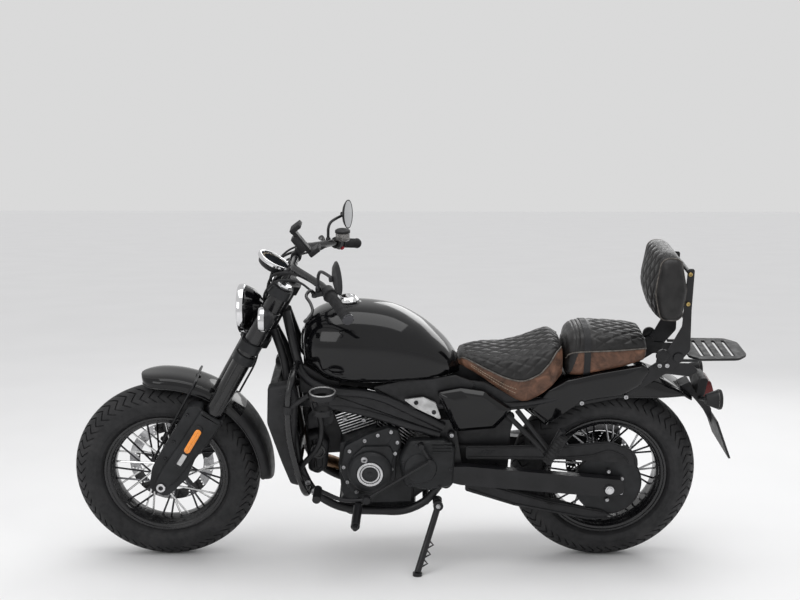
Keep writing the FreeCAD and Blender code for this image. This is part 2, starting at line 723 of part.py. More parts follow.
def bar_controls():
    """Grips, switch boxes, levers and the right brake reservoir."""
    inner, tip = bar_point(0.05), bar_point(1.0)
    way = (tip - inner).normalize()
    grip = less("left_grip", bar("grip_body", inner, tip, S.grip_radius),
                [bar("grip_bore", inner - way, tip + way, S.bar_radius)])
    switch = bar("switch_body", inner - way * 31, inner, 21)
    perch = bar("lever_perch", inner - way * 20, inner - way * 20 + Vector(-42, 0, -8), 10)
    room = bar("switch_bore", inner - way * 40, inner + way, S.bar_radius)
    lever = pipe("lever", [inner - way * 20 + Vector(-42, 0, -8), inner + way * 30 + Vector(-52, 0, -14),
                           inner + way * 110 + Vector(-46, 0, -20), inner + way * 140 + Vector(-40, 0, -24)], 5)
    left = less("left_controls", joined("left_controls_whole", [grip, switch, perch, lever]), [room])
    right = mirrored(left)
    pot = spot(-152, 286, 1085)
    neck = inner - way * 16
    reservoir = joined("reservoir", [bar("pot", pot, pot + Vector(0, 0, 30), 22),
                                     bar("pot_neck", spot(neck.x, -neck.y, neck.z + 16), pot + Vector(0, 0, 6), 8)])
    node("bar_controls", grouped("bar_controls", [left, joined("right_controls", [right, reservoir])]))


def mirrors():
    """Round mirrors on stems from the bar."""
    centre = spot(-138, -398, 1135)
    way = (bar_point(1.0) - bar_point(0.0)).normalize()
    foot = bar_point(0.05) - way * 20 + Vector(-30, 0, 6.4)
    facing = Vector(0.93, 0.25, 0.05).normalize()
    left = joined("left_mirror", [
        bar("mirror_head", centre - facing * 12, centre, S.mirror_radius - 14, S.mirror_radius),
        bar("mirror_glass", centre, centre + facing * 4, S.mirror_radius),
        pipe("mirror_stem", [foot, foot + Vector(0, 0, 62), centre - facing * 8], 5)])
    node("mirrors", grouped("mirrors", [left, mirrored(left)]))


def phone_holder():
    """Sprung phone clamp on the middle of the bar."""
    clamp = spot(BAR[0][0], 14, BAR[0][2])
    seat = clamp + Vector(20, 0, 50)
    turn = Rotation(Vector(0, 1, 0), 52)
    along = turn.multVec(Vector(1, 0, 0))
    pieces = [bar("phone_clamp", clamp + Vector(0, -13, 0), clamp + Vector(0, 13, 0), 18),
              bar("phone_neck", clamp, seat, 9),
              block("phone_back", seat, (96, 34, 14), turn),
              block("phone_jaw_top", seat - along * 46 + turn.multVec(Vector(0, 0, 14)), (8, 60, 34), turn),
              block("phone_jaw_low", seat + along * 46 + turn.multVec(Vector(0, 0, 14)), (8, 60, 34), turn)]
    thing = less("phone_bored", joined("phone_body", pieces),
                 [bar("phone_bore", clamp + Vector(0, -40, 0), clamp + Vector(0, 40, 0),
                      S.bar_radius + S.seat_gap)])
    node("phone_holder", thing)


def disc_slot(name, axle, radius):
    """The room a disc turns in, cut out of its caliper."""
    reach = S.disc_thickness / 2 + 3.5
    middle = Vector(axle.x, 0, axle.z)
    return bar(name, middle + spot(0, S.disc_plane - reach, 0), middle + spot(0, S.disc_plane + reach, 0), radius + 5)


def front_caliper():
    """Caliper over the back of the front disc, bolted to the right fork's foot."""
    centre = in_steering(FRONT_AXLE)
    body = plate("caliper_body", [(-20, 440, 14), (44, 400, 14), (64, 470, 14), (0, 510, 14)], 27, 50)
    slot = disc_slot("caliper_slot", centre, S.disc_radius)
    node("front_caliper", less("caliper", body, [slot]), STEER)


# from the left lever to the lower yoke, and from under the yoke to the front caliper in the steering frame
CABLE = [(-216, -279, 1050), (-268, -226, 1076), (-345, -172, 1062), (-392, -120, 1000), (-395, -64, 940),
         (-453.4, -80, 843.6)]
HOSE = [(8, 76, 904.6), (8, 76, 880), (34, 98, 800), (34, 100, 700), (34, 98, 600), (32, 76, 545),
        (30, 66, 493)]


def cables():
    """A cable from each side of the bar to the lower yoke, and the hose to the front caliper."""
    left = pipe("left_cable", CABLE, 3.5)
    hose = pipe("brake_hose", [steered(*point) for point in HOSE], 3.5)
    node("cables", grouped("cables", [left, mirrored(left), hose]))


# the left tubes of the frame, each from its upper or front end
SPAR = [(-330, -20, 905), (-304, -60, 800), (-272, -104, 700), (-180, -126, 664), (-30, -130, 655),
        (195, -128, 536)]
LOWER_SPAR = [(-327, -78, 610), (-188, -117, 612), (-60, -123, 586), (182, -125, 506)]
DOWNTUBE = [(-372, -18, 842), (-332, -56, 738), (-316, -86, 560), (-290, -104, 380), (-244, -112, 282),
            (-150, -116, 226), (60, -116, 214), (140, -116, 252), (190, -119, 326)]
SEAT_RAIL = [(60, -129, 607), (150, -113.6, 608), (440, -113.6, 609), (640, -113.6, 646)]


def frame():
    """Tubular frame: head tube, twin spars, downtubes, cradle, seat rails and pivot plates."""
    head_low = S.lower_yoke + S.yoke_height + S.head_gap
    head_high = S.upper_yoke - S.head_gap
    head = less("head_tube", bar("head_outer", steered(0, 0, head_low), steered(0, 0, head_high), S.head_radius), [
        bar("head_bore", steered(0, 0, head_low - 10), steered(0, 0, head_high + 10), S.stem_radius + 0.05)])
    left = [pipe("spar", SPAR, S.tube_radius), pipe("lower_spar", LOWER_SPAR, S.cradle_radius),
            pipe("downtube", DOWNTUBE, S.cradle_radius), pipe("seat_rail", SEAT_RAIL, S.rail_radius),
            plate("pivot_plate", [(150, 330, 14), (168, 560, 20), (232, 560, 20), (262, 380, 24),
                                  (214, 300, 20)], 10, -124)]
    right = [mirrored(piece) for piece in left]
    cross = [bar("cross_front", spot(-292, -104, 400), spot(-292, 104, 400), 12),
             bar("cross_low", spot(140, -116, 252), spot(140, 116, 252), 12),
             bar("cross_rear", spot(430, -114, 609), spot(430, 114, 609), 11),
             bar("cross_seat", spot(220, -114, 609), spot(220, 114, 609), 11),
             bar("pivot_shaft", spot(S.pivot_x, -120, S.pivot_z), spot(S.pivot_x, 120, S.pivot_z), 14),
             bar("stand_lug", spot(178, -116, 262), spot(178, -134, 258), 16)]
    node("frame", joined("frame_tubes", [head] + left + right + cross))


def swingarm():
    """Two tapered box legs from the pivot to the rear axle, with a cross tube."""
    x0, z0, x1, z1 = float(S.pivot_x), float(S.pivot_z), REAR_AXLE.x, REAR_AXLE.z
    corners = [(x0 - 30, z0 - 22, 20), (x0 - 30, z0 + 26, 20), (x0 + 60, z0 + 28, 30), (x1 + 44, z1 + 32, 14),
               (x1 + 52, z1 - 18, 12), (x1 - 20, z1 - 30, 20), (x0 + 40, z0 - 40, 30)]
    left = plate("left_arm", corners, S.arm_width, -S.arm_inner - S.arm_width)
    bored = less("left_arm_bored", left, [
        bar("arm_axle", spot(x1, -300, z1), spot(x1, 0, z1), S.axle_radius + S.axle_clearance)])
    cross = bar("arm_cross", spot(x0 + 150, -S.arm_inner, z0 - 12), spot(x0 + 150, S.arm_inner, z0 - 12), 24)
    node("swingarm", joined("swingarm", [bored, mirrored(bored), cross]))


def on_bank(lean_back, reach, across, y=0.0):
    """A point beside a cylinder: along its axis from the crankshaft, across it and outwards."""
    turn = math.radians(float(lean_back))
    reach, across = float(reach), float(across)
    return spot(float(S.crank_x) + reach * math.sin(turn) + across * math.cos(turn), y,
                float(S.crank_z) + reach * math.cos(turn) - across * math.sin(turn))


def cylinder_stack(name, lean_back, turn_y):
    """A finned barrel and its head, drawn along its own axis from the crankshaft."""
    rows = int(float(S.fin_count))
    half, pitch, deck = S.fin_half, S.fin_pitch, S.deck + S.seat_gap
    foot = 97
    pieces = [block(name + "_barrel", spot(0, 0, deck + foot / 2), (90, 90, foot))]
    for k in range(rows):
        pieces.append(block("%s_fin_%d" % (name, k), spot(0, 0, deck + 6 + k * float(pitch)), (half * 2, half * 2, 4)))
    pieces.append(block(name + "_head", spot(0, 0, 222), (118, 112, 50)))
    pieces.append(block(name + "_cover", spot(0, 0, 252), (92, 96, 22)))
    place = Placement(spot(S.crank_x, turn_y, S.crank_z), Rotation(Vector(0, 1, 0), float(lean_back)))
    node(name, joined(name, pieces), place)


def engine():
    """Crankcase with a deck for each cylinder, the cylinders, and the covers on its sides."""
    front_deck = on_bank(-S.front_bank, S.deck, -66)
    rear_deck = on_bank(S.rear_bank, S.deck, 66)
    half_vee = math.radians(float(S.front_bank + S.rear_bank) / 2)
    vee = on_bank((S.rear_bank - S.front_bank) / 2, float(S.deck) / math.cos(half_vee), 0)
    crankcase = plate("crankcase_block", [
        (-146, 272, 40), (-158, 390, 60), (front_deck.x, front_deck.z, 3), (vee.x, vee.z, 2),
        (rear_deck.x, rear_deck.z, 3), (97, 470, 4), (184, 462, 30), (187, 352, 30), (146, 290, 20),
        (100, 252, 20), (-80, 246, 20)], S.case_half * 2, -S.case_half)
    belt_side = -S.pulley_plane - S.belt_width / 2
    recessed = less("crankcase_recessed", crankcase, [
        block("belt_room", spot(186, -150, 370), (196, 128, 400))])
    sump = block("sump", spot(10, 0, 232), (190, 130, 40))
    pulley = bar("front_pulley", spot(140, -80, 420), spot(140, belt_side, 420), S.front_pulley_radius)
    node("crankcase", joined("crankcase_all", [recessed, sump, pulley]))
    cylinder_stack("front_cylinder", -S.front_bank, 6)
    cylinder_stack("rear_cylinder", S.rear_bank, -6)
    face = S.case_half + S.seat_gap
    left = plate("generator_cover", [(-120, 300, 40), (-152, 380, 40), (-136, 470, 30), (-60, 512, 20),
                                     (10, 538, 12), (44, 528, 10), (56, 480, 20), (38, 420, 30), (34, 330, 40),
                                     (-40, 280, 50)], 42, -face - 42)
    dome = bar("generator_dome", spot(S.crank_x, -face - 41, S.crank_z),
               spot(S.crank_x, -face - 66, S.crank_z), 78, 66)
    sprocket = plate("sprocket_cover", [(62, 330, 30), (46, 430, 40), (80, 497, 20), (200, 500, 16),
                                        (236, 470, 20), (230, 330, 20), (150, 312, 30)], 40, -face - 54)
    thinned = less("sprocket_cover_thinned", sprocket, [
        block("arm_room", spot(193, -135, 400), (166, 42, 300))])
    right = plate("clutch_cover", [(-150, 330, 50), (-140, 470, 40), (0, 520, 40), (120, 480, 40),
                                   (150, 380, 40), (90, 294, 50), (-60, 284, 50)], 52, face)
    node("engine_covers", grouped("engine_covers", [joined("left_cover", [left, dome, thinned]), right]))


def exhaust():
    """Header pipes from both heads into one silencer low on the right."""
    head_reach, off = 222, 59.3
    front_port, front_out = on_bank(-S.front_bank, head_reach, -off, 6), on_bank(-S.front_bank, head_reach, -118, 6)
    rear_port, rear_out = on_bank(S.rear_bank, head_reach, off, -6), on_bank(S.rear_bank, head_reach, 112, -6)
    start, end = spot(330, 212, 300), spot(800, 224, 352)
    way = Vector(end - start).normalize()
    front = pipe("front_header", [front_port, front_out, (-262, 12, 470), (-246, 26, 350), (-196, 108, 300),
                                  (-110, 166, 228), (60, 164, 222), (210, 200, 274), start + way * 40],
                 S.header_radius)
    rear = pipe("rear_header", [rear_port, rear_out, (240, 24, 470), (306, 110, 466), (338, 180, 436),
                                (362, 211, 372), (380, 213, 306)], S.header_radius - 1)
    silencer = joined("silencer", [
        bar("silencer_cone", start - way * 56, start, S.header_radius + 6, S.muffler_radius),
        bar("silencer_drum", start, end, S.muffler_radius),
        bar("silencer_tip", end - way, end + way * 52, S.muffler_radius - 14)])
    hollow = less("silencer_hollow", silencer, [
        bar("silencer_mouth", end + way * 12, end + way * 60, S.muffler_radius - 18)])
    node("exhaust", joined("exhaust", [hollow, front, rear]))


def radiator():
    """Radiator between its side shrouds, ahead of the downtubes."""
    inner = 124
    half = inner - S.seat_gap
    core = plate("radiator_core", [(-386, 668, 6), (-356, 672, 6), (-310, 400, 6), (-340, 396, 6)],
                 half * 2, -half)
    node("radiator", core)
    left = plate("left_shroud", [(-384, 690, 14), (-306, 704, 12), (-288, 650, 20), (-300, 420, 30),
                                 (-276, 330, 14), (-318, 342, 16), (-346, 420, 60), (-390, 560, 60)],
                 44, -inner - 44)
    node("radiator_shrouds", grouped("radiator_shrouds", [left, mirrored(left)]))


def tank_section(half, low, high):
    tall = high - low
    return [(-0.80 * half, low, -0.35), (-1.08 * half, low + 0.34 * tall, -0.45), (-0.66 * half, high, -0.45),
            (0.66 * half, high, -0.45), (1.08 * half, low + 0.34 * tall, -0.45), (0.80 * half, low, -0.35)]


# along, half width, underside, top
TANK = [(-274, 58, 772, 846), (-258, 100, 740, 884), (-205, 138, 706, 917), (-110, 154, 692, 934),
        (20, 150, 690, 918), (120, 130, 690, 869), (200, 98, 692, 798), (244, 60, 700, 740)]


def tank():
    body = lofted("tank_shell", "YZ_Plane", [(x, tank_section(w, low, high)) for x, w, low, high in TANK])
    cap_at = spot(-125, 0, 924)
    seat = bar("cap_recess", cap_at, cap_at + Vector(0, 0, 60), S.cap_radius + 0.3)
    node("fuel_tank", less("tank_recessed", body, [seat]))
    cap = joined("cap_all", [bar("cap_base", cap_at, cap_at + Vector(0, 0, 22), S.cap_radius),
                             bar("cap_top", cap_at + Vector(0, 0, 22), cap_at + Vector(0, 0, 32),
                                 S.cap_radius - 6, S.cap_radius - 16)])
    node("filler_cap", cap)


def cushion_section(half, low, high, crown=0.7):
    return [(-half, low, -0.3), (-half, low + crown * (high - low), -0.45), (-0.6 * half, high, -0.45),
            (0.6 * half, high, -0.45), (half, low + crown * (high - low), -0.45), (half, low, -0.3)]


# along, half width, underside, top
RIDER_SEAT = [(246, 52, 712, 742), (262, 66, 704, 768), (320, 96, 682, 776), (420, 136, 652, 778),
              (500, 146, 650, 806), (560, 132, 668, 820), (588, 108, 690, 800)]
PASSENGER_SEAT = [(596, 84, 706, 800), (606, 100, 706, 850), (650, 112, 712, 866), (760, 114, 738, 856),
                  (850, 104, 762, 842), (866, 84, 772, 820)]


def seats():
    node("rider_seat", lofted("rider_seat_loft", "YZ_Plane",
                              [(x, cushion_section(w, low, high)) for x, w, low, high in RIDER_SEAT]))
    node("passenger_seat", lofted("passenger_seat_loft", "YZ_Plane",
                                  [(x, cushion_section(w, low, high)) for x, w, low, high in PASSENGER_SEAT]))
    pad_body = plate("backrest_cushion", [(898, 900, 24), (882, 1000, 60), (890, 1128, 30), (950, 1124, 30),
                                          (974, 1010, 60), (962, 898, 24)], 280, -140)
    node("backrest_pad", pad_body)


FENDER_SHIFT = Vector(10, 0, 8)


def rear_fender():
    shell = fender_shell("rear_fender_shell", S.rear_fender_radius, S.rear_fender_half,
                         REAR_AXLE + FENDER_SHIFT, -50, 94)
    node("rear_fender", shell)


def backrest_frame():
    """Side plates that hold the backrest, with the fender struts they bolt to."""
    inner = S.rear_fender_half + S.seat_gap
    strut = plate("fender_strut", [(600, 632, 12), (640, 600, 12), (812, 636, 14), (930, 716, 16), (1010, 706, 10),
                                   (1040, 726, 8), (1010, 752, 12), (900, 758, 14), (820, 700, 20),
                                   (700, 650, 20)], 5, -inner - 5)
    upright = plate("backrest_plate", [(880, 738, 12), (930, 800, 20), (971, 884, 20), (976, 1080, 8),
                                       (998, 1080, 8), (998, 940, 20), (1004, 800, 20), (944, 724, 12)],
                    5, -inner - 11)
    stay = joined("backrest_side", [strut, upright, bar("backrest_joint", spot(912, -inner - 12, 760),
                                                        spot(912, -inner, 760), 16)])
    cross = [bar("backrest_cross_%d" % k, spot(988, -inner - 6, level), spot(988, inner + 6, level), 7)
             for k, level in enumerate((900, 1060))]
    node("backrest_frame", joined("backrest_frame_all", [stay, mirrored(stay)] + cross))


def luggage_rack():
    body = new_body("rack_plate")
    drawing = outline(sketch_on(body, "XY_Plane", 762), [
        (1010, -70, 12), (1040, -104, 24), (1170, -100, 40), (1206, -60, 30), (1206, 60, 30), (1170, 100, 40),
        (1040, 104, 24), (1010, 70, 12)])
    for k in range(4):
        x = 1050 + k * 34
        outline(drawing, [(x, -76, 5), (x + 12, -76, 5), (x + 12, 76, 5), (x, 76, 5)])
    pad(body, drawing, 8)
    tabs = [block("rack_tab_%d" % k, spot(1004, side * 97, 762), (60, 10, 8)) for k, side in enumerate((-1, 1))]
    node("luggage_rack", joined("luggage_rack_all", [body] + tabs))


def tail_lamp():
    lamp = plate("tail_lamp_body", [(1060, 622, 8), (1070, 674, 14), (1100, 664, 10), (1112, 628, 10),
                                    (1090, 606, 8)], 84, -42)
    node("tail_lamp", lamp)


def plate_bracket():
    """Blank number plate on its bracket, with the rear turn signals."""
    board = plate("number_plate", [(1108, 548, 2), (1116, 548, 2), (1170, 412, 2), (1162, 412, 2)], 220, -110)
    arm = plate("plate_arm", [(985, 636, 6), (1032, 660, 6), (1050, 626.9, 2), (1088, 606.6, 2), (1112, 560, 8),
                              (1118, 500, 4), (1106, 500, 4), (1084, 560, 8)], 60, -30)
    left = joined("rear_signal", [
        bar("rear_signal_lens", spot(1098, -138, 640), spot(1108, -138, 640), 32),
        bar("rear_signal_shell", spot(1060, -138, 640), spot(1098, -138, 640), 18, 32),
        bar("rear_signal_stalk", spot(1070, -24, 596), spot(1070, -138, 636), 7)])
    hub = REAR_AXLE + FENDER_SHIFT
    room = bar("fender_room", hub + spot(0, -200, 0), hub + spot(0, 200, 0), S.rear_fender_radius + S.seat_gap)
    whole = joined("plate_bracket_whole", [board, arm, left, mirrored(left)])
    node("plate_bracket", less("plate_bracket_fitted", whole, [room]))


def side_covers():
    left = plate("left_side_cover", [(170, 664, 10), (250, 680, 30), (330, 668, 40), (424, 602, 14),
                                     (366, 536, 14), (232, 524, 14)], 40, -166)
    node("side_covers", grouped("side_covers", [left, mirrored(left)]))


def belt_drive():
    """The belt's fixed loop and its upper and lower guards, on the left."""
    rear, front = REAR_AXLE, spot(140, 0, 420)
    gap = S.belt_gap
    inner = -S.pulley_plane - S.belt_width / 2 + 1

    def loop_face(name, extra):
        """The outline round both pulleys, as one solid."""
        tall, small = float(S.rear_pulley_radius) + extra, float(S.front_pulley_radius) + extra
        line = rear - front
        tilt = math.asin((tall - small) / line.Length)
        slope = math.atan2(line.z, line.x)
        points = []
        for centre, radius in ((front, small), (rear, tall)):
            for side in (1, -1):
                turn = slope + side * (math.pi / 2 + tilt)
                points.append(centre + Vector(radius * math.cos(turn), 0, radius * math.sin(turn)))
        far_front = front - line.normalize() * small
        far_rear = rear + line * tall
        top_front, low_front, top_rear, low_rear = points
        edges = [Part.Arc(low_front, far_front, top_front).toShape(), Part.makeLine(top_front, top_rear),
                 Part.Arc(top_rear, far_rear, low_rear).toShape(), Part.makeLine(low_rear, low_front)]
        face = Part.Face(Part.Wire(edges))
        thing = doc.addObject("Part::Feature", name)
        thing.Shape = face.extrude(Vector(0, float(S.belt_width) - 2, 0))
        thing.Placement = Placement(spot(0, inner, 0), Rotation())
        return thing

    belt = less("drive_belt_loop", loop_face("belt_outside", float(gap) + float(S.belt_thickness)),
                [loop_face("belt_inside", float(gap))])
    node("drive_belt", belt)
    plane = -S.pulley_plane - S.belt_width / 2 - 7
    upper = plate("upper_guard", [(272, 462, 10), (600, 466, 60), (760, 480, 80), (850, 440, 60), (856, 384, 6),
                                  (800, 400, 40), (600, 412, 60), (272, 414, 10)], 4, plane)
    lower = plate("lower_guard", [(272, 334, 10), (300, 336, 20), (560, 256, 60), (740, 222, 60), (790, 196, 12),
                                  (700, 186, 40), (440, 240, 60), (272, 296, 10)], 4, plane)
    node("belt_guards", grouped("belt_guards", [upper, lower]))


def foot_controls():
    """Rider's footpegs on brackets, the shift lever and its rod, and the brake pedal."""
    peg = joined("left_peg", [bar("peg_arm", spot(-88, -131.5, 265), spot(-90, -214, 282), 11),
                              bar("peg_rubber", spot(-90, -210, 281), spot(-96, -322, 268), 15),
                              bar("peg_tip", spot(-96, -322, 268), spot(-96, -336, 266), 8)])
    linkage = joined("shift_linkage", [
        bar("shift_rod", spot(-50.4, -190, 306.9), spot(149, -190, 438), 4),
        bar("shift_eye", spot(149, -196, 438), spot(149, -180, 438), 9),
        bar("shift_crank", spot(148, -184, 440), spot(121, -184, 488), 6),
        bar("shift_shaft", spot(120, -192, 490), spot(120, -166.3, 490), 10)])
    pedal = joined("brake_pedal", [
        bar("brake_boss", spot(-62, 182, 300), spot(-62, 206, 300), 13),
        pipe("brake_arm", [(-62, 196, 300), (-140, 198, 296), (-222, 212, 346)], 7),
        bar("brake_pad", spot(-222, 206, 346), spot(-224, 272, 338), 14)])
    right = joined("right_foot_controls", [mirrored(peg), pedal, bar("brake_mount", spot(-89, 178, 274),
                                                                     spot(-62, 188, 299), 9)])
    left = joined("left_foot_controls", [peg, mirrored(pedal), bar("shift_mount", spot(-89, -178, 274),
                                                                   spot(-62, -188, 299), 9)])
    node("foot_controls", grouped("foot_controls", [left, linkage, right]))


def passenger_pegs():
    """Folded passenger pegs on twin-tube brackets."""
    left = joined("left_passenger_peg", [
        bar("passenger_tube_0", spot(392, -112, 590), spot(540, -160, 452), 9),
        bar("passenger_tube_1", spot(440, -112, 590), spot(548, -160, 462), 9),
        bar("passenger_boss", spot(542, -150, 452), spot(542, -178, 452), 15),
        bar("passenger_peg", spot(542, -172, 452), spot(582, -200, 556), 12)])
    node("passenger_pegs", grouped("passenger_pegs", [left, mirrored(left)]))


# the left engine guard, from the spar down to the downtube
GUARD = [(-288, -82, 750), (-298, -182, 746), (-312, -214, 690), (-318, -214, 560), (-294, -214, 430),
         (-264, -192, 312), (-256, -110, 306)]


def crash_bars():
    """Engine guards ahead of the rider's feet, fitted to the frame's tubes."""
    left = less("left_crash_bar", pipe("left_guard_tube", GUARD, S.guard_radius), [
        pipe("spar_room", SPAR, S.tube_radius + S.seat_gap),
        pipe("downtube_room", DOWNTUBE, S.cradle_radius + S.seat_gap)])
    node("crash_bars", grouped("crash_bars", [left, mirrored(left)]))


def bottle_holder():
    """Open ring and lower hoop on an arm, clamped to the left engine guard."""
    centre = spot(-200, -236, 0)
    rings = []
    for k, (level, outer, inner) in enumerate(((686, 43, 37), (628, 30, 26))):
        outer_disc = bar("cup_outer_%d" % k, centre + spot(0, 0, level), centre + spot(0, 0, level + 18), outer)
        inner_disc = bar("cup_inner_%d" % k, centre + spot(0, 0, level - 5), centre + spot(0, 0, level + 25), inner)
        rings.append(less("cup_ring_%d" % k, outer_disc, [inner_disc]))
    high, low = Vector(*GUARD[2]), Vector(*GUARD[3])
    way = (low - high).normalize()
    middle = high + way * 56
    arms = [bar("cup_arm", spot(-244, -236, 694), middle, 7),
            bar("cup_post", spot(-241.5, -236, 690), spot(-229, -236, 632), 2.8),
            bar("cup_clamp", middle - way * 13, middle + way * 13, S.guard_radius + 5)]
    room = bar("cup_clamp_bore", middle - way * 30, middle + way * 30, S.guard_radius + S.seat_gap)
    node("bottle_holder", less("bottle_holder_bored", joined("bottle_holder_all", rings + arms), [room]))


def rear_caliper():
    body = plate("rear_caliper_body", [(618, 380, 12), (660, 430, 12), (708, 420, 12), (700, 350, 12),
                                       (640, 330, 12)], 30, 48)
    slot = disc_slot("rear_caliper_slot", REAR_AXLE, S.rear_disc_radius)
    arm = bar("rear_caliper_arm", spot(636, 70, 344), spot(636, S.arm_inner, 344), 9)
    node("rear_caliper", joined("rear_caliper_all", [less("rear_caliper_cut", body, [slot]), arm]))


def side_stand():
    """Leg with its foot, deployed on the floor."""
    pivot = spot(180, -150, 254)
    floor_spot = Vector(44, -72, 0)
    floor = LEAN.inverse()
    foot = floor.multVec(floor_spot + Vector(0, 0, 12))
    turn_axis = Vector(0, -0.945, 0.327).normalize()
    leg = joined("stand_leg", [bar("stand_eye", pivot - turn_axis * 8, pivot + turn_axis * 10, 17),
                               bar("stand_tube", pivot, foot, S.stand_radius),
                               bar("stand_foot", foot, floor.multVec(floor_spot), 16)])
    node("side_stand", leg)


def check(things):
    """Stop if any feature failed or any sub-part is not a sound solid."""
    bad = [thing.Name for thing in doc.Objects if "Invalid" in thing.State or "Error" in thing.State]
    for thing in things:
        shape = thing.Shape
        if shape.isNull() or not shape.isValid() or not shape.Solids:
            bad.append(thing.Label)
    if bad:
        raise RuntimeError("these pieces failed: " + ", ".join(bad))


def main():
    for build in (wheels, rear_pulley, axles, forks, yokes, front_fender, headlamp, gauge, front_signals,
                  handlebar, bar_controls, mirrors, phone_holder, front_caliper, cables, frame, swingarm, engine,
                  exhaust, radiator, tank, seats, rear_fender, backrest_frame, luggage_rack, tail_lamp,
                  plate_bracket, side_covers, belt_drive, foot_controls, passenger_pegs, crash_bars,
                  bottle_holder, rear_caliper, side_stand):
        build()
    doc.recompute()
    check(nodes)
    os.makedirs("parts", exist_ok=True)
    whole = FreeCAD.BoundBox()
    for thing in nodes:
        thing.Shape.exportStep("parts/%s.step" % thing.Label)
        whole.add(thing.Shape.BoundBox)
    print("nodes", len(nodes), "box", whole)


main()
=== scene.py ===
"""Looks of a light cruiser motorcycle, parked on its side stand.

Shapes are worked out in millimetres on the upright bike, as the CAD model has
them: x runs back from the front wheel, y across with the rider's left at -y,
z up. Bike.lean() then gives them the parked bike's lean, in metres. Pieces
that turn with the handlebar start in the steering frame, whose z runs up the
steering axis.
"""
import json
import math

import bmesh
import bpy
import numpy as np
from bpy.props import FloatProperty, FloatVectorProperty, IntProperty, PointerProperty
from mathutils import Matrix

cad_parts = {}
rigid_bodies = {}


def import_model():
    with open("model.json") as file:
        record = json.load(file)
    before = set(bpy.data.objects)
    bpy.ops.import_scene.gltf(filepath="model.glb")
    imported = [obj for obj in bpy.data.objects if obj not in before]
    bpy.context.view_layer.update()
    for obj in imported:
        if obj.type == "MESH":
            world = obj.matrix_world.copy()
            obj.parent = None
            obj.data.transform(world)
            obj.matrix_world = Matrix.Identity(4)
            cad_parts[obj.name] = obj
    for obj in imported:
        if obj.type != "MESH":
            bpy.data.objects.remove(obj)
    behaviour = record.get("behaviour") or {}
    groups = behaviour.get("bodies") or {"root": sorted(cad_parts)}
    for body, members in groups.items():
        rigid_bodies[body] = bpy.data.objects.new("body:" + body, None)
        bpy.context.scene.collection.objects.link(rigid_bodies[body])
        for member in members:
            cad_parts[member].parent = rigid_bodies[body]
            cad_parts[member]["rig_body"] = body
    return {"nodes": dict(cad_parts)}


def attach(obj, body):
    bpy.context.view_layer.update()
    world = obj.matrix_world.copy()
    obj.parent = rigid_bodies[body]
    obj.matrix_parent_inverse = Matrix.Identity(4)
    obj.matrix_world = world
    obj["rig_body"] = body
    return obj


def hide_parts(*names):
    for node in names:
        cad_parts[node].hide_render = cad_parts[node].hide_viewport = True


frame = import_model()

bl_info = {
    "name": "Parked cruiser motorcycle",
    "version": (1, 0, 0),
    "blender": (4, 5, 0),
    "location": "3D View > Sidebar > Cruiser",
    "description": "Dresses the CAD frame of a cruiser motorcycle with detailed pieces",
    "category": "Object",
}

FULL_TURN = 2 * math.pi
SIDES = (-1, 1)
BACK, LEFT, RIGHT, UP = (1, 0, 0), (0, -1, 0), (0, 1, 0), (0, 0, 1)
# Nearly across the bike, for shapes whose own axis may lie exactly across it
ASIDE = (0, 1, 0.01)


# Sizes


class CruiserSizes(bpy.types.PropertyGroup):
    """Sizes of the detail that the CAD model leaves open."""

    edge_round: FloatProperty(name="Edge round", unit="LENGTH", default=0.0008,
                              description="Width of the rounded edges on cast and pressed pieces")
    smooth_angle: FloatProperty(name="Smooth angle", subtype="ANGLE", default=math.radians(35),
                                description="Edges flatter than this are shaded smooth")
    tread_pitches: IntProperty(name="Tread pitches", default=58,
                               description="Grooves on each shoulder of a tyre")
    tread_depth: FloatProperty(name="Tread depth", default=5.0,
                               description="Depth of the tread grooves in millimetres")
    spoke_count: IntProperty(name="Spokes", default=36, description="Wire spokes in each wheel")
    spoke_radius: FloatProperty(name="Spoke radius", default=3.5,
                                description="Radius of a wire spoke in millimetres")
    quilt_length: FloatProperty(name="Quilt length", default=60.0,
                                description="Length of a quilted diamond in millimetres")
    quilt_width: FloatProperty(name="Quilt width", default=38.0,
                               description="Width of a quilted diamond in millimetres")
    quilt_depth: FloatProperty(name="Quilt depth", default=5.0,
                               description="How far a diamond stands above its seams, in millimetres")
    piping_radius: FloatProperty(name="Piping radius", default=2.4,
                                 description="Radius of the cord sewn along the seat edges, in millimetres")
    stitch_length: FloatProperty(name="Stitch length", default=5.5,
                                 description="Length of one decorative stitch in millimetres")


class CruiserColours(bpy.types.PropertyGroup):
    """Base colours of the finishes."""

    paint: FloatVectorProperty(name="Paint", subtype="COLOR", size=3, default=(0.0025, 0.0025, 0.003),
                               description="Gloss paint of the tank and fenders")
    satin: FloatVectorProperty(name="Satin", subtype="COLOR", size=3, default=(0.008, 0.008, 0.009),
                               description="Satin paint of the frame")
    engine: FloatVectorProperty(name="Engine", subtype="COLOR", size=3, default=(0.011, 0.0115, 0.0125),
                                description="Coated engine castings")
    plastic: FloatVectorProperty(name="Plastic", subtype="COLOR", size=3, default=(0.010, 0.010, 0.011),
                                 description="Moulded plastic")
    rubber: FloatVectorProperty(name="Rubber", subtype="COLOR", size=3, default=(0.0125, 0.0125, 0.0135),
                                description="Tyres and grips")
    leather: FloatVectorProperty(name="Leather", subtype="COLOR", size=3, default=(0.010, 0.0095, 0.0095),
                                 description="Black leather of the seat tops")
    band: FloatVectorProperty(name="Brown band", subtype="COLOR", size=3, default=(0.115, 0.056, 0.034),
                              description="Brown leather band round the seats")
    header: FloatVectorProperty(name="Header", subtype="COLOR", size=3, default=(0.20, 0.115, 0.06),
                                description="Heat-coloured exhaust header")


# Coordinates


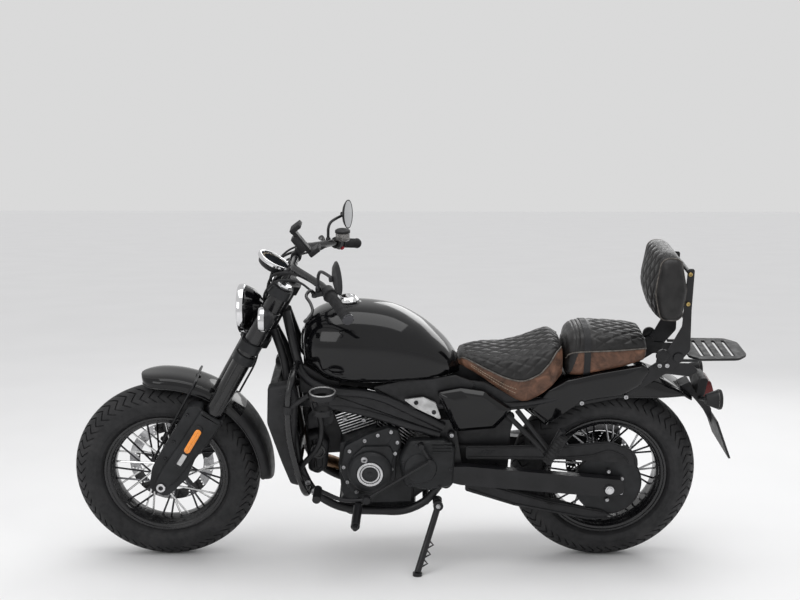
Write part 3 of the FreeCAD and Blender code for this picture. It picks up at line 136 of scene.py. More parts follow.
class Bike:
    """The bike's axes and the places that several pieces share."""

    LEAN = math.radians(12)
    # The bike leans about a line at this height, the mean of the tyres' crown radii
    CROWN = 70.0
    # Then it moves along and across, so that the middle of its box comes to the origin
    SHIFT = np.array([-65.06, 186.36])
    RAKE = math.radians(29)
    STEER_FOOT = -866.0
    # The left fork leg in the steering frame: ahead of the axis, and across
    FORK_LEG = (-23, -108)
    WHEEL_RADIUS = 320.0
    HALF_BASE = 756.0
    FRONT_AXLE = np.array([-HALF_BASE, 0.0, WHEEL_RADIUS])
    REAR_AXLE = np.array([HALF_BASE, 0.0, WHEEL_RADIUS])
    CRANK = np.array([-50.0, 0.0, 389.0])

    @classmethod
    def lean(cls, points):
        """Upright millimetres to the parked bike in metres."""
        points = np.asarray(points, float)
        cos, sin = math.cos(cls.LEAN), math.sin(cls.LEAN)
        x, y, z = points[..., 0], points[..., 1], points[..., 2] - cls.CROWN
        return np.stack([x + cls.SHIFT[0], y * cos - z * sin + cls.SHIFT[1], cls.CROWN + y * sin + z * cos],
                        -1) / 1000

    @classmethod
    def upright(cls, points):
        """The parked bike in metres back to upright millimetres."""
        points = np.asarray(points, float) * 1000
        cos, sin = math.cos(cls.LEAN), math.sin(cls.LEAN)
        x, y, z = points[..., 0] - cls.SHIFT[0], points[..., 1] - cls.SHIFT[1], points[..., 2] - cls.CROWN
        return np.stack([x, y * cos + z * sin, cls.CROWN - y * sin + z * cos], -1)

    @classmethod
    def steered(cls, points):
        """Steering frame to the upright bike: (x cos r + s sin r, y, s cos r - x sin r)."""
        points = np.asarray(points, float)
        cos, sin = math.cos(cls.RAKE), math.sin(cls.RAKE)
        x, y, s = points[..., 0], points[..., 1], points[..., 2]
        return np.stack([cls.STEER_FOOT + x * cos + s * sin, y, s * cos - x * sin], -1)

    @classmethod
    def steer_axis(cls):
        """Direction up the steering axis."""
        return cls.steered((0, 0, 1)) - cls.steered((0, 0, 0))


def unit(vectors):
    """The same directions with length 1."""
    vectors = np.asarray(vectors, float)
    return vectors / np.maximum(np.linalg.norm(vectors, axis=-1, keepdims=True), 1e-9)


def mirrored(points):
    """The same points on the other side of the bike."""
    return np.asarray(points, float) * [1, -1, 1]


# Curves


def rounded(corners, closed=True, steps=7):
    """Outline with arcs at its corners (across, up, radius); a radius below 0 is a share of the shorter side.

    An arc's points are c + r (sin((1 - t) a) d0 + sin(t a) d1) / sin a, for t
    from 0 to 1 between the directions d0 and d1 of its tangent points.
    """
    table = np.array([tuple(corner) + (0.0,) * (3 - len(corner)) for corner in corners], float)
    at, radius = table[:, :2], table[:, 2]
    before, after = np.roll(at, 1, 0) - at, np.roll(at, -1, 0) - at
    shorter = np.minimum(np.linalg.norm(before, axis=1), np.linalg.norm(after, axis=1))
    before, after = unit(before), unit(after)
    half = np.arccos(np.clip((before * after).sum(1), -1, 1)) / 2
    half = np.clip(half, 1e-3, math.pi / 2 - 1e-4)
    radius = np.where(radius < 0, -radius * shorter * np.tan(half), radius)
    radius = np.clip(radius, 0.02, 0.49 * shorter * np.tan(half))
    reach = (radius / np.tan(half))[:, None]
    centre = at + unit(before + after) * (radius / np.sin(half))[:, None]
    first, last = unit(at + before * reach - centre), unit(at + after * reach - centre)
    turn = (math.pi - 2 * half)[:, None, None]
    share = np.linspace(0, 1, steps)[None, :, None]
    arc = (np.sin((1 - share) * turn) * first[:, None] + np.sin(share * turn) * last[:, None]) / np.sin(turn)
    arc = centre[:, None] + radius[:, None, None] * arc
    if closed:
        return arc.reshape(-1, 2)
    return np.concatenate([at[:1], arc[1:-1].reshape(-1, 2), at[-1:]])


def symmetric(corners):
    """Corners (across, up, radius), followed by their mirror images in reverse order."""
    return corners + [(-across, *rest) for across, *rest in reversed(corners)]


def resampled(points, count, closed=False):
    """The same line with evenly spaced points."""
    points = np.asarray(points, float)
    if closed:
        points = np.concatenate([points, points[:1]])
    along = travelled(points)
    wanted = np.linspace(0, along[-1], count + 1)[:-1] if closed else np.linspace(0, along[-1], count)
    return np.stack([np.interp(wanted, along, points[:, k]) for k in range(points.shape[1])], -1)


def travelled(points):
    """Length of a line up to each of its points."""
    return np.concatenate([[0], np.cumsum(np.linalg.norm(np.diff(points, axis=0), axis=1))])


def flowing(points, count):
    """Catmull-Rom curve through points, evenly spaced.

    Between p1 and p2: (2 p1 + (p2 - p0) t + (2 p0 - 5 p1 + 4 p2 - p3) t^2
    + (3 p1 - p0 - 3 p2 + p3) t^3) / 2.
    """
    p = np.asarray(points, float)
    p = np.concatenate([2 * p[:1] - p[1:2], p, 2 * p[-1:] - p[-2:-1]])
    p0, p1, p2, p3 = p[:-3, None], p[1:-2, None], p[2:-1, None], p[3:, None]
    t = np.linspace(0, 1, 24, endpoint=False)[None, :, None]
    line = 0.5 * (2 * p1 + (p2 - p0) * t + (2 * p0 - 5 * p1 + 4 * p2 - p3) * t ** 2
                  + (3 * p1 - p0 - 3 * p2 + p3) * t ** 3)
    return resampled(np.concatenate([line.reshape(-1, p.shape[1]), p[-2:-1]]), count)


def table_curve(table, x):
    """Columns of a table over its first column, along a Catmull-Rom curve."""
    line = flowing(table, 400)
    return [np.interp(x, line[:, 0], line[:, k]) for k in range(1, line.shape[1])]


def half_section(points, count):
    """Closed section from the right half (y, z): a Catmull-Rom line and its mirror image."""
    half = flowing(points, count)
    return np.concatenate([half, (half * [-1, 1])[-2:0:-1]])


def ring(count):
    """Evenly spaced angles over a full turn."""
    return np.linspace(0, FULL_TURN, count, endpoint=False)


def axle_circle(radius, turn, y):
    """(r sin t, y, r cos t): points about an axle that runs across the bike."""
    return np.stack([radius * np.sin(turn), y + 0 * turn, radius * np.cos(turn)], -1)


def inward_normals(outline):
    """Unit normals (-v, u) of a closed outline's tangents (u, v), turned inwards by the sign of its area."""
    tangent = unit(np.roll(outline, -1, 0) - np.roll(outline, 1, 0))
    across, up = outline.T
    area = np.sum(across * np.roll(up, -1) - up * np.roll(across, -1))
    return np.stack([-tangent[:, 1], tangent[:, 0]], -1) * np.sign(area)


# Surfaces


def grid_faces(rows, cols, close_rows=False):
    """Quads between neighbouring points of a rows by cols grid whose columns join up."""
    i, j = np.meshgrid(np.arange(rows if close_rows else rows - 1), np.arange(cols), indexing="ij")
    down, right = (i + 1) % rows, (j + 1) % cols
    faces = np.stack([i * cols + j, i * cols + right, down * cols + right, down * cols + j], -1)
    return faces.reshape(-1, 4)


def grid_normals(points):
    """Unit normals of a grid whose columns join up: the cross product of its two tangents."""
    across = np.roll(points, -1, 1) - np.roll(points, 1, 1)
    return unit(np.cross(np.gradient(points, axis=0), across))


def oriented(points, origin, axis, up=UP):
    """Local points to the bike: z goes along axis, and x leans towards up."""
    axis = unit(axis)
    across = unit(np.asarray(up, float) - axis * np.dot(up, axis))
    side = np.cross(axis, across)
    return np.asarray(origin, float) + points @ np.stack([across, side, axis])


def spun(profile, sides):
    """(r cos t, r sin t, h) for a profile of radius r and height h."""
    profile, turn = np.asarray(profile, float), ring(sides)
    radius, height = profile[:, :1], profile[:, 1:2]
    return np.stack([radius * np.cos(turn), radius * np.sin(turn), height + 0 * turn], -1)


def about_axle(profile, sides, centre):
    """A profile of height h and radius r carried round an axle, with h across the bike."""
    profile = np.asarray(profile, float)
    return np.asarray(centre, float) + axle_circle(profile[:, 1:2], ring(sides), profile[:, :1])


def tube_points(path, radius, sides, up):
    """path + r (a cos t + b sin t), with a and b square to the path and a towards up."""
    path = np.asarray(path, float)
    radius = np.broadcast_to(np.asarray(radius, float), path.shape[:-1])[..., None, None]
    tangent = unit(np.gradient(path, axis=-2))
    side = unit(np.cross(tangent, np.broadcast_to(np.asarray(up, float), tangent.shape)))
    above = np.cross(side, tangent)
    turn = ring(sides)[:, None]
    around = side[..., None, :] * np.cos(turn) + above[..., None, :] * np.sin(turn)
    return path[..., None, :] + radius * around


def domed(section, reach, rows=7):
    """Rows that close the end of a loft: section scaled by cos a about its centre, moved by reach sin a."""
    section, reach = np.asarray(section, float), np.asarray(reach, float)
    centre = section.mean(0)
    turn = np.linspace(0, math.pi / 2, rows + 1)[1:, None, None]
    return centre + (section - centre) * np.cos(turn) + reach * np.sin(turn)


def cleaned(mesh, distance, flat=None):
    """Merge doubled points, join faces that meet flatter than an angle, and turn all faces outwards."""
    tidy = bmesh.new()
    tidy.from_mesh(mesh)
    bmesh.ops.remove_doubles(tidy, verts=tidy.verts, dist=distance)
    if flat:
        bmesh.ops.dissolve_limit(tidy, angle_limit=flat, verts=tidy.verts, edges=tidy.edges)
    bmesh.ops.recalc_face_normals(tidy, faces=tidy.faces)
    tidy.to_mesh(mesh)
    tidy.free()


class Piece:
    """Surfaces on the upright bike, in millimetres, gathered into one object."""

    def __init__(self, name, body, slot):
        self.name, self.body, self.slot = name, body, slot
        self.parts, self.finishes = [], []

    def mark(self, finish):
        """The number of a finish on this piece."""
        if finish not in self.finishes:
            self.finishes.append(finish)
        return self.finishes.index(finish)

    def add(self, points, faces, finish, both=False):
        """Points, their faces, and one finish for all or one number of self.finishes for each face."""
        points = np.asarray(points, float).reshape(-1, 3)
        number = finish if isinstance(finish, np.ndarray) else np.full(len(faces), self.mark(finish))
        self.parts.append((points, faces, number))
        if both:
            self.parts.append((mirrored(points), faces[:, ::-1], number))
        return self

    def grid(self, points, finish, close_rows=False, caps=False, both=False):
        """A grid of points whose columns join up, with its first and last row filled if caps is set."""
        rows, cols = points.shape[:2]
        self.add(points, grid_faces(rows, cols, close_rows), finish, both)
        if caps:
            self.add(points[0], np.arange(cols)[None, ::-1], finish, both)
            self.add(points[-1], np.arange(cols)[None], finish, both)
        return self

    def lathe(self, corners, finish, origin, axis, up=ASIDE, sides=64, both=False, closed=False):
        """A rounded profile of (radius, height) spun about an axis."""
        points = oriented(spun(rounded(corners, closed, 5), sides), origin, axis, up)
        return self.grid(points, finish, close_rows=closed, caps=not closed, both=both)

    def shell(self, profile, finish, origin, axis, sides, both=False):
        """A closed profile of (radius, height), such as a lens's, spun about an axis as it is."""
        points = oriented(spun(profile, sides), origin, axis, ASIDE)
        return self.grid(points, finish, close_rows=True, both=both)

    def tube(self, path, radius, finish, sides=14, up=RIGHT, both=False):
        """A round tube along one path, or along each of several."""
        points = tube_points(path, radius, sides, up)
        if points.ndim == 3:
            return self.grid(points, finish, caps=True, both=both)
        copies, rows = points.shape[:2]
        shift = (np.arange(copies) * rows * sides)[:, None, None]
        self.add(points, (grid_faces(rows, sides) + shift).reshape(-1, 4), finish, both)
        ends = np.stack([np.arange(sides)[::-1], np.arange(sides) + (rows - 1) * sides])
        return self.add(points, (ends + shift).reshape(-1, sides), finish, both)

    def copies(self, shape, finish, places, axes, up=ASIDE, both=False):
        """One grid repeated at every place, turned so that its z follows the axis there."""
        places = np.asarray(places, float).reshape(-1, 3)
        axes = unit(np.broadcast_to(np.asarray(axes, float), places.shape))
        across = unit(np.asarray(up, float) - axes * (axes @ np.asarray(up, float))[:, None])
        turn = np.stack([across, np.cross(axes, across), axes], 1)
        rows, cols = shape.shape[:2]
        points = places[:, None] + shape.reshape(-1, 3) @ turn
        shift = (np.arange(len(places)) * rows * cols)[:, None, None]
        self.add(points, (grid_faces(rows, cols) + shift).reshape(-1, 4), finish, both)
        last = np.arange(cols)[None] + (rows - 1) * cols + shift[:, 0]
        return self.add(points, last.reshape(-1, cols), finish, both)

    def bolts(self, radius, height, finish, places, way=LEFT, both=False):
        """Cap screws whose heads face way."""
        return self.copies(bolt_shape(radius, height), finish, places, way, BACK, both)

    def layered(self, flat, layers, finish, both, place=None):
        """Rings of (x, z) at their layers' y, joined to a closed skin and moved by place."""
        height = np.broadcast_to(layers[:, 1, None], flat.shape[:2])
        points = np.stack([flat[..., 0], height, flat[..., 1]], -1)
        return self.grid(place(points) if place else points, finish, caps=True, both=both)

    def pressed(self, corners, layers, finish, both=False, steps=9, place=None):
        """A flat outline raised in layers of (inset, y): each ring moves along the inward normals."""
        outline, layers = rounded(corners, True, steps), np.asarray(layers, float)
        flat = outline + inward_normals(outline) * layers[:, 0, None, None]
        return self.layered(flat, layers, finish, both, place)

    def crowned(self, corners, middle, layers, finish):
        """A panel on each side in layers of (share, y): each ring is the outline scaled about the middle."""
        layers, middle = np.asarray(layers, float), np.asarray(middle, float)
        flat = middle + (rounded(corners, True, 9) - middle) * layers[:, 0, None, None]
        return self.layered(flat, layers, finish, True)

    def made(self, replaces=(), smooth=None):
        """Build the object, let it ride on its body and stand for its CAD nodes."""
        sizes = bpy.context.scene.cruiser_sizes
        points, faces, numbers = zip(*self.parts)
        shift = np.concatenate([[0], np.cumsum([len(part) for part in points])[:-1]]).astype(int)
        loops = np.concatenate([(part + start).ravel() for part, start in zip(faces, shift)])
        corners = np.concatenate([np.full(len(part), part.shape[1]) for part in faces])
        starts = np.concatenate([[0], np.cumsum(corners)[:-1]])
        points = Bike.lean(np.concatenate(points))
        mesh = bpy.data.meshes.new(self.name)
        mesh.vertices.add(len(points))
        mesh.vertices.foreach_set("co", points.astype(np.float32).ravel())
        mesh.loops.add(len(loops))
        mesh.loops.foreach_set("vertex_index", loops.astype(np.int32))
        mesh.polygons.add(len(corners))
        mesh.polygons.foreach_set("loop_start", starts.astype(np.int32))
        mesh.polygons.foreach_set("material_index", np.concatenate(numbers).astype(np.int32))
        mesh.update(calc_edges=True)
        cleaned(mesh, 1e-6)
        for finish in self.finishes:
            mesh.materials.append(Finish.get(finish))
        mesh.validate()
        mesh.shade_smooth()
        mesh.set_sharp_from_angle(angle=smooth or sizes.smooth_angle)
        thing = bpy.data.objects.new(self.name, mesh)
        bpy.context.scene.collection.objects.link(thing)
        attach(thing, self.body)
        if replaces:
            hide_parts(*replaces)
        return thing


def round_edges(thing, width):
    """Two-step bevel on every edge sharper than 38 degrees."""
    bevel = thing.modifiers.new("Edges", "BEVEL")
    bevel.width = width
    bevel.segments = 2
    bevel.limit_method = "ANGLE"
    bevel.angle_limit = math.radians(38)
    bevel.use_clamp_overlap = False
    bevel.harden_normals = True


def dressed(node, finishes, pick=None, edge=None):
    """A copy of a CAD node with soft edges: flat faces are merged, and pick gives each face its finish."""
    source = frame["nodes"][node]
    mesh = source.data.copy()
    mesh.name = node + "_look"
    cleaned(mesh, 1e-5, math.radians(0.5))
    for name in ("custom_normal", "sharp_edge", "sharp_face"):
        if name in mesh.attributes:
            mesh.attributes.remove(mesh.attributes[name])
    mesh.materials.clear()
    for finish in finishes:
        mesh.materials.append(Finish.get(finish))
    mesh.shade_smooth()
    count = len(mesh.polygons)
    number = np.zeros(count, np.int32)
    if pick:
        centres, normals = np.zeros(count * 3), np.zeros(count * 3)
        mesh.polygons.foreach_get("center", centres)
        mesh.polygons.foreach_get("normal", normals)
        centres = centres.reshape(-1, 3)
        ends = Bike.upright(centres + normals.reshape(-1, 3) * 0.001)
        centres = Bike.upright(centres)
        number = pick(centres, ends - centres).astype(np.int32)
    mesh.polygons.foreach_set("material_index", number)
    thing = bpy.data.objects.new(node + "_look", mesh)
    bpy.context.scene.collection.objects.link(thing)
    width = bpy.context.scene.cruiser_sizes.edge_round if edge is None else edge
    if width:
        round_edges(thing, width)
    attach(thing, source["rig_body"])
    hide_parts(node)
    return thing


# Finishes


class Finish:
    """A procedural material: colour, roughness and relief come from noise in object coordinates."""

    recipes = {}
    made = {}

    def __init__(self, colour, rough, metal=0.0, coat=0.0, coat_rough=0.03, shine=0.35):
        self.material = bpy.data.materials.new("finish")
        self.material.use_nodes = True
        self.tree = self.material.node_tree
        self.shader = self.tree.nodes["Principled BSDF"]
        self.colour = np.array(colour[:], float)
        self.set("Base Color", (*self.colour, 1))
        self.set("Roughness", rough)
        self.set("Metallic", metal)
        self.set("Specular IOR Level", shine)
        if coat:
            self.set("Coat Weight", coat)
            self.set("Coat Roughness", coat_rough)
        self.place = self.tree.nodes.new("ShaderNodeTexCoord").outputs["Object"]
        self.normal = None

    @classmethod
    def get(cls, name):
        """The material of a recipe, made once and called by the recipe's name."""
        if name not in cls.made:
            cls.made[name] = cls.recipes[name]().material
            cls.made[name].name = name
        return cls.made[name]

    def set(self, socket, value):
        """The same value all over, on the shader's own socket."""
        self.shader.inputs[socket].default_value = value
        return self

    def node(self, kind, sockets=(), **settings):
        """A new node with its settings, and each socket linked to another or set to a value."""
        node = self.tree.nodes.new(kind)
        for key, value in settings.items():
            setattr(node, key, value)
        for key, value in dict(sockets).items():
            if isinstance(value, bpy.types.NodeSocket):
                self.tree.links.new(value, node.inputs[key])
            else:
                node.inputs[key].default_value = value
        return node

    def noise(self, scale, detail=3.0, rough=0.55, stretch=None, twist=0.0):
        """Cloudy pattern from 0 to 1, with about scale clouds in a metre."""
        place = self.place
        if stretch:
            place = self.node("ShaderNodeMapping", {"Vector": place, "Scale": stretch}).outputs[0]
        return self.node("ShaderNodeTexNoise", {"Vector": place, "Scale": scale, "Detail": detail,
                                                "Roughness": rough, "Distortion": twist}).outputs[0]

    def cells(self, scale):
        """Distance to the nearest of scattered points, about scale of them in a metre."""
        return self.node("ShaderNodeTexVoronoi", {"Vector": self.place, "Scale": scale}).outputs["Distance"]

    def waves(self, scale, direction):
        """Parallel bands that follow each other along one axis."""
        return self.node("ShaderNodeTexWave", {"Vector": self.place, "Scale": scale},
                         bands_direction=direction).outputs[1]

    def span(self, source, low, high):
        """A pattern's values from 0.35 to 0.65, mapped to low to high."""
        return self.node("ShaderNodeMapRange", {"Value": source, "From Min": 0.35, "From Max": 0.65,
                                                "To Min": low, "To Max": high}).outputs[0]

    def tint(self, source, stops):
        """Colour ramp of (place, colour) into the base colour."""
        ramp = self.node("ShaderNodeValToRGB", {"Fac": source})
        elements = ramp.color_ramp.elements
        while len(elements) < len(stops):
            elements.new(0.5)
        for element, (at, colour) in zip(elements, stops):
            element.position = at
            element.color = (*np.clip(colour, 0, 1), 1)
        self.tree.links.new(ramp.outputs[0], self.shader.inputs["Base Color"])
        return self

    def shade(self, source, low, high, start=0.36, end=0.64):
        """Base colour between two multiples of the finish's own colour."""
        return self.tint(source, [(start, self.colour * low), (end, self.colour * high)])

    def roughen(self, source, low, high):
        """Roughness between two values."""
        self.tree.links.new(self.span(source, low, high), self.shader.inputs["Roughness"])
        return self

    def relief(self, source, depth, strength=1.0):
        """Bumps as deep as depth in metres, on top of any before them."""
        sockets = {"Height": source, "Distance": depth, "Strength": strength}
        if self.normal:
            sockets["Normal"] = self.normal
        self.normal = self.node("ShaderNodeBump", sockets).outputs[0]
        self.tree.links.new(self.normal, self.shader.inputs["Normal"])
        return self

    def worn(self, tone, gloss, bumps):
        """Wear by three noises, each given by its scale and detail.

        The first takes the base colour between two multiples, the second the
        roughness between two values, and the third raises bumps of a depth.
        """
        self.shade(self.noise(*tone[:2]), *tone[2:])
        self.roughen(self.noise(*gloss[:2]), *gloss[2:])
        return self.relief(self.noise(*bumps[:2]), *bumps[2:])


def recipe(function):
    """Keep a function that makes a finish under its own name."""
    Finish.recipes[function.__name__] = function
    return function


def colours():
    """The colours that the panel shows."""
    return bpy.context.scene.cruiser_colours


@recipe
def gloss_black():
    """Deep clear-coated paint with faint orange peel."""
    look = Finish(colours().paint, 0.16, coat=0.55, coat_rough=0.02, shine=0.12)
    return look.worn((6, 3, 0.8, 1.3), (30, 4, 0.1, 0.2), (260, 2, 0.00003))


@recipe
def satin_black():
    """Powder-coated tube."""
    return Finish(colours().satin, 0.36).worn((10, 3, 0.7, 1.5), (45, 4, 0.28, 0.46), (700, 2, 0.00006))


@recipe
def semi_gloss():
    """Painted castings such as rims, fork tubes and yokes."""
    look = Finish(colours().satin, 0.25, coat=0.4, coat_rough=0.12)
    return look.worn((8, 3, 0.6, 1.2), (40, 4, 0.18, 0.34), (500, 2, 0.00005))


@recipe
def engine_black():
    """Cast aluminium under a satin black coating, with sand grain."""
    look = Finish(colours().engine, 0.45, metal=0.2)
    look.shade(look.noise(9, 5), 0.6, 1.7).roughen(look.noise(60, 4), 0.34, 0.56)
    look.relief(look.cells(900), 0.00008)
    return look.relief(look.noise(260, 4), 0.00012)


@recipe
def machined():
    """Bare machined aluminium, such as fin edges and cover rings."""
    look = Finish((0.62, 0.62, 0.63), 0.28, metal=1.0)
    look.shade(look.noise(20, 3), 0.75, 1.1).roughen(look.noise(300, 3, stretch=(1, 12, 1)), 0.2, 0.38)
    return look.relief(look.noise(600, 2, stretch=(1, 14, 1)), 0.00003)


@recipe
def fin_edge():
    """Skimmed fin edge: bright metal through black."""
    look = Finish((0.72, 0.72, 0.73), 0.34, metal=0.8)
    return look.worn((70, 3, 0.7, 1.2), (120, 3, 0.25, 0.45), (900, 2, 0.00004))


@recipe
def chrome():
    """Polished chrome plate."""
    look = Finish((0.72, 0.72, 0.73), 0.06, metal=1.0)
    return look.worn((5, 3, 0.92, 1.05), (50, 3, 0.03, 0.1), (120, 2, 0.00001))


@recipe
def dark_chrome():
    """Black chrome of caps and clamps."""
    look = Finish((0.07, 0.07, 0.075), 0.18, metal=1.0)
    return look.worn((12, 3, 0.7, 1.2), (60, 3, 0.1, 0.2), (400, 2, 0.00002))


@recipe
def steel():
    """Zinc-plated steel of bolts and axles."""
    look = Finish((0.42, 0.42, 0.43), 0.3, metal=1.0)
    return look.worn((60, 3, 0.7, 1.2), (200, 3, 0.22, 0.42), (800, 2, 0.00003))


@recipe
def spoke_steel():
    """Polished stainless wire, made pale to paint the highlight on front spokes that catch the light."""
    look = Finish((0.78, 0.78, 0.78), 0.2, metal=1.0)
    return look.worn((40, 3, 0.85, 1.05), (150, 3, 0.14, 0.3), (700, 2, 0.00002))


@recipe
def disc_steel():
    """Ground brake disc with fine scratches."""
    look = Finish((0.5, 0.5, 0.51), 0.3, metal=1.0)
    look.shade(look.noise(18, 3), 0.8, 1.1).roughen(look.noise(220, 4), 0.2, 0.42)
    return look.relief(look.noise(700, 2, stretch=(3, 3, 0.4)), 0.00004)


@recipe
def brass():
    """Yellow passivated screws of the backrest."""
    look = Finish((0.45, 0.33, 0.13), 0.3, metal=1.0)
    return look.worn((80, 3, 0.75, 1.15), (150, 3, 0.22, 0.4), (700, 2, 0.00003))


@recipe
def black_bolt():
    """Blackened steel, rubbed a little bright."""
    look = Finish((0.03, 0.03, 0.032), 0.35, metal=0.7)
    return look.worn((90, 3, 0.6, 1.6), (200, 3, 0.28, 0.5), (800, 2, 0.00004))


@recipe
def header_bronze():
    """Pipe browned by heat, in cloudy patches."""
    look = Finish(colours().header, 0.38, metal=1.0)
    base = look.colour
    look.tint(look.noise(11, 5, twist=0.6), [(0.3, base * 0.45), (0.48, base * 0.9), (0.6, base * 1.35),
                                             (0.74, base * np.array([0.9, 1.0, 1.3]))])
    look.roughen(look.noise(70, 4), 0.28, 0.52)
    return look.relief(look.noise(500, 3), 0.00008)


@recipe
def exhaust_black():
    """Heat-resistant matt coating."""
    look = Finish((0.018, 0.018, 0.019), 0.5)
    return look.worn((14, 5, 0.6, 1.8), (80, 4, 0.36, 0.6), (900, 3, 0.00008))


@recipe
def moulded():
    """Moulded plastic with a fine spark-eroded texture."""
    look = Finish(colours().plastic, 0.52)
    look.shade(look.noise(12, 4), 0.7, 1.5).roughen(look.noise(50, 4), 0.44, 0.62)
    return look.relief(look.cells(1500), 0.00006)


@recipe
def tyre_rubber():
    """Rubber with a little road dust."""
    look = Finish(colours().rubber, 0.62)
    base = look.colour
    look.tint(look.noise(14, 6), [(0.3, base * 0.75), (0.52, base * 1.15),
                                  (0.75, base * 1.8 + np.array([0.004, 0.003, 0.002]))])
    look.roughen(look.noise(60, 5), 0.5, 0.74)
    return look.relief(look.noise(900, 3), 0.0001)


@recipe
def grip_rubber():
    """Soft rubber of grips, belt and cables."""
    look = Finish(colours().rubber, 0.7)
    look.shade(look.noise(60, 4), 0.6, 1.2).roughen(look.noise(90, 4), 0.6, 0.82)
    return look.relief(look.cells(1200), 0.00012)


@recipe
def black_leather():
    """Matt seat leather: small pebbles over soft creases."""
    look = Finish(colours().leather, 0.4)
    look.shade(look.noise(22, 5), 0.65, 1.7).roughen(look.noise(90, 4), 0.3, 0.46)
    look.relief(look.cells(620), 0.0003, 0.7)
    return look.relief(look.noise(70, 5), 0.0004, 0.5)


@recipe
def brown_leather():
    """Distressed leather, rubbed paler in cloudy patches."""
    look = Finish(colours().band, 0.5)
    base = look.colour
    look.tint(look.noise(24, 8, 0.62, twist=0.7),
              [(0.32, base * 0.32), (0.44, base * 0.75), (0.56, base * 1.15), (0.7, base * 1.9)])
    look.roughen(look.noise(50, 5), 0.38, 0.62)
    look.relief(look.cells(700), 0.00025, 0.6)
    return look.relief(look.noise(60, 6), 0.0005, 0.6)


@recipe
def pale_piping():
    """Cord sewn along the cushions."""
    look = Finish((0.10, 0.09, 0.08), 0.45)
    look.shade(look.noise(80, 4), 0.6, 1.4).roughen(look.noise(120, 3), 0.45, 0.65)
    return look.relief(look.noise(1400, 2, stretch=(1, 1, 6)), 0.0002)


@recipe
def cream_thread():
    """Thick decorative thread."""
    return Finish((0.42, 0.36, 0.27), 0.8).worn((200, 3, 0.7, 1.2), (300, 3, 0.7, 0.9), (2400, 2, 0.0002))


def clear(colour, rough, weight=1.0):
    """Start of a finish that lets light through."""
    look = Finish(colour, rough)
    look.set("Transmission Weight", weight).set("IOR", 1.49)
    return look


@recipe
def lamp_glass():
    """Clear lens with faint vertical flutes."""
    look = clear((0.93, 0.95, 0.96), 0.02)
    look.shade(look.noise(9), 0.97, 1.0)
    return look.relief(look.waves(55, "Y"), 0.0004, 0.5)


@recipe
def smoked_lens():
    """Grey lens with a pebbled back."""
    look = clear((0.30, 0.29, 0.28), 0.12, 0.6)
    look.shade(look.noise(30), 0.8, 1.2)
    return look.relief(look.cells(420), 0.0004, 0.6)


@recipe
def red_lens():
    """Dark red lens with a pebbled back."""
    look = clear((0.12, 0.006, 0.006), 0.14, 0.2)
    look.shade(look.noise(30), 0.75, 1.2)
    return look.relief(look.cells(360), 0.0005, 0.6)


@recipe
def red_switch():
    """Red plastic of the stop switch."""
    return Finish((0.42, 0.015, 0.03), 0.4).worn((60, 3, 0.8, 1.15), (90, 3, 0.32, 0.5), (600, 2, 0.00004))


@recipe
def orange_reflector():
    """Prism reflector under clear plastic."""
    look = Finish((0.85, 0.25, 0.012), 0.16, coat=1.0)
    look.shade(look.cells(700), 0.7, 1.25, 0.1, 0.6)
    return look.relief(look.cells(700), 0.0005, 0.8)


@recipe
def mirror_glass():
    """Silvered glass."""
    look = Finish((0.55, 0.56, 0.57), 0.015, metal=1.0)
    look.shade(look.noise(4), 0.97, 1.02).roughen(look.noise(30, 3), 0.008, 0.03)
    return look


@recipe
def dial_face():
    """Matt face of the dial. Its pale ticks are small rods on it."""
    look = Finish((0.012, 0.013, 0.015), 0.4, shine=0.0)
    return look.worn((60, 3, 0.7, 1.3), (60, 3, 0.4, 0.6), (900, 2, 0.00003))


@recipe
def blank_plate():
    """Painted sheet with nothing on it."""
    return Finish((0.12, 0.12, 0.12), 0.42).worn((14, 4, 0.85, 1.1), (60, 3, 0.34, 0.5), (200, 3, 0.0001))


@recipe
def silver_plate():
    """Silver-painted plate."""
    look = Finish((0.5, 0.5, 0.5), 0.35, metal=0.8)
    return look.worn((30, 4, 0.7, 1.15), (120, 4, 0.28, 0.45), (500, 3, 0.00006))


@recipe
def pale_floor():
    """Even pale studio floor."""
    look = Finish((0.80, 0.80, 0.80), 0.75)
    look.shade(look.noise(1.5), 0.99, 1.01).roughen(look.noise(6, 3), 0.7, 0.85)
    return look


# Shared small shapes


def hex_head(rows, radius, height, sides):
    """Head from rows of (share, level, flats): on flats the radius is r cos 30 / cos(t mod 60 - 30)."""
    turn = ring(sides)
    hexagon = math.cos(math.pi / 6) / np.cos(np.mod(turn, math.pi / 3) - math.pi / 6)
    share, level, flats = np.array(rows, float).T[..., None]
    reach = radius * share * np.where(flats, hexagon, 1.0)
    return np.stack([reach * np.cos(turn), reach * np.sin(turn), height * level + 0 * turn], -1)


def bolt_shape(radius, height):
    """Cap screw with a hexagon socket."""
    return hex_head([(1, -1, 0), (1, 0.82, 0), (0.88, 1, 0), (0.5, 1, 1), (0.5, 0.35, 1), (0.02, 0.35, 1)],
                    radius, height, 24)


def nut_shape(radius, height):
    """Hexagon head with a turned crown."""
    return hex_head([(1, -1, 1), (1, 0.75, 1), (0.84, 1, 0), (0.4, 1, 0), (0.36, 1.25, 0), (0.02, 1.25, 0)],
                    radius, height, 36)


def lens_profile(radius, front, bulge):
    """Closed profile of a bulged lens: h = front + bulge (1 - (r / R)^2), and the same line 3 mm behind."""
    r = np.linspace(0, radius, 14)
    h = front + bulge * (1 - (r / radius) ** 2)
    return np.concatenate([np.stack([r, h], -1), np.stack([r[::-1], h[::-1] - 3], -1)])


def axle_reach(points, axle):
    """Distance from an axle that runs across the bike."""
    return np.hypot(points[:, 0] - axle[0], points[:, 2] - axle[2])


# Wheels

BEAD_RADIUS = 215.0
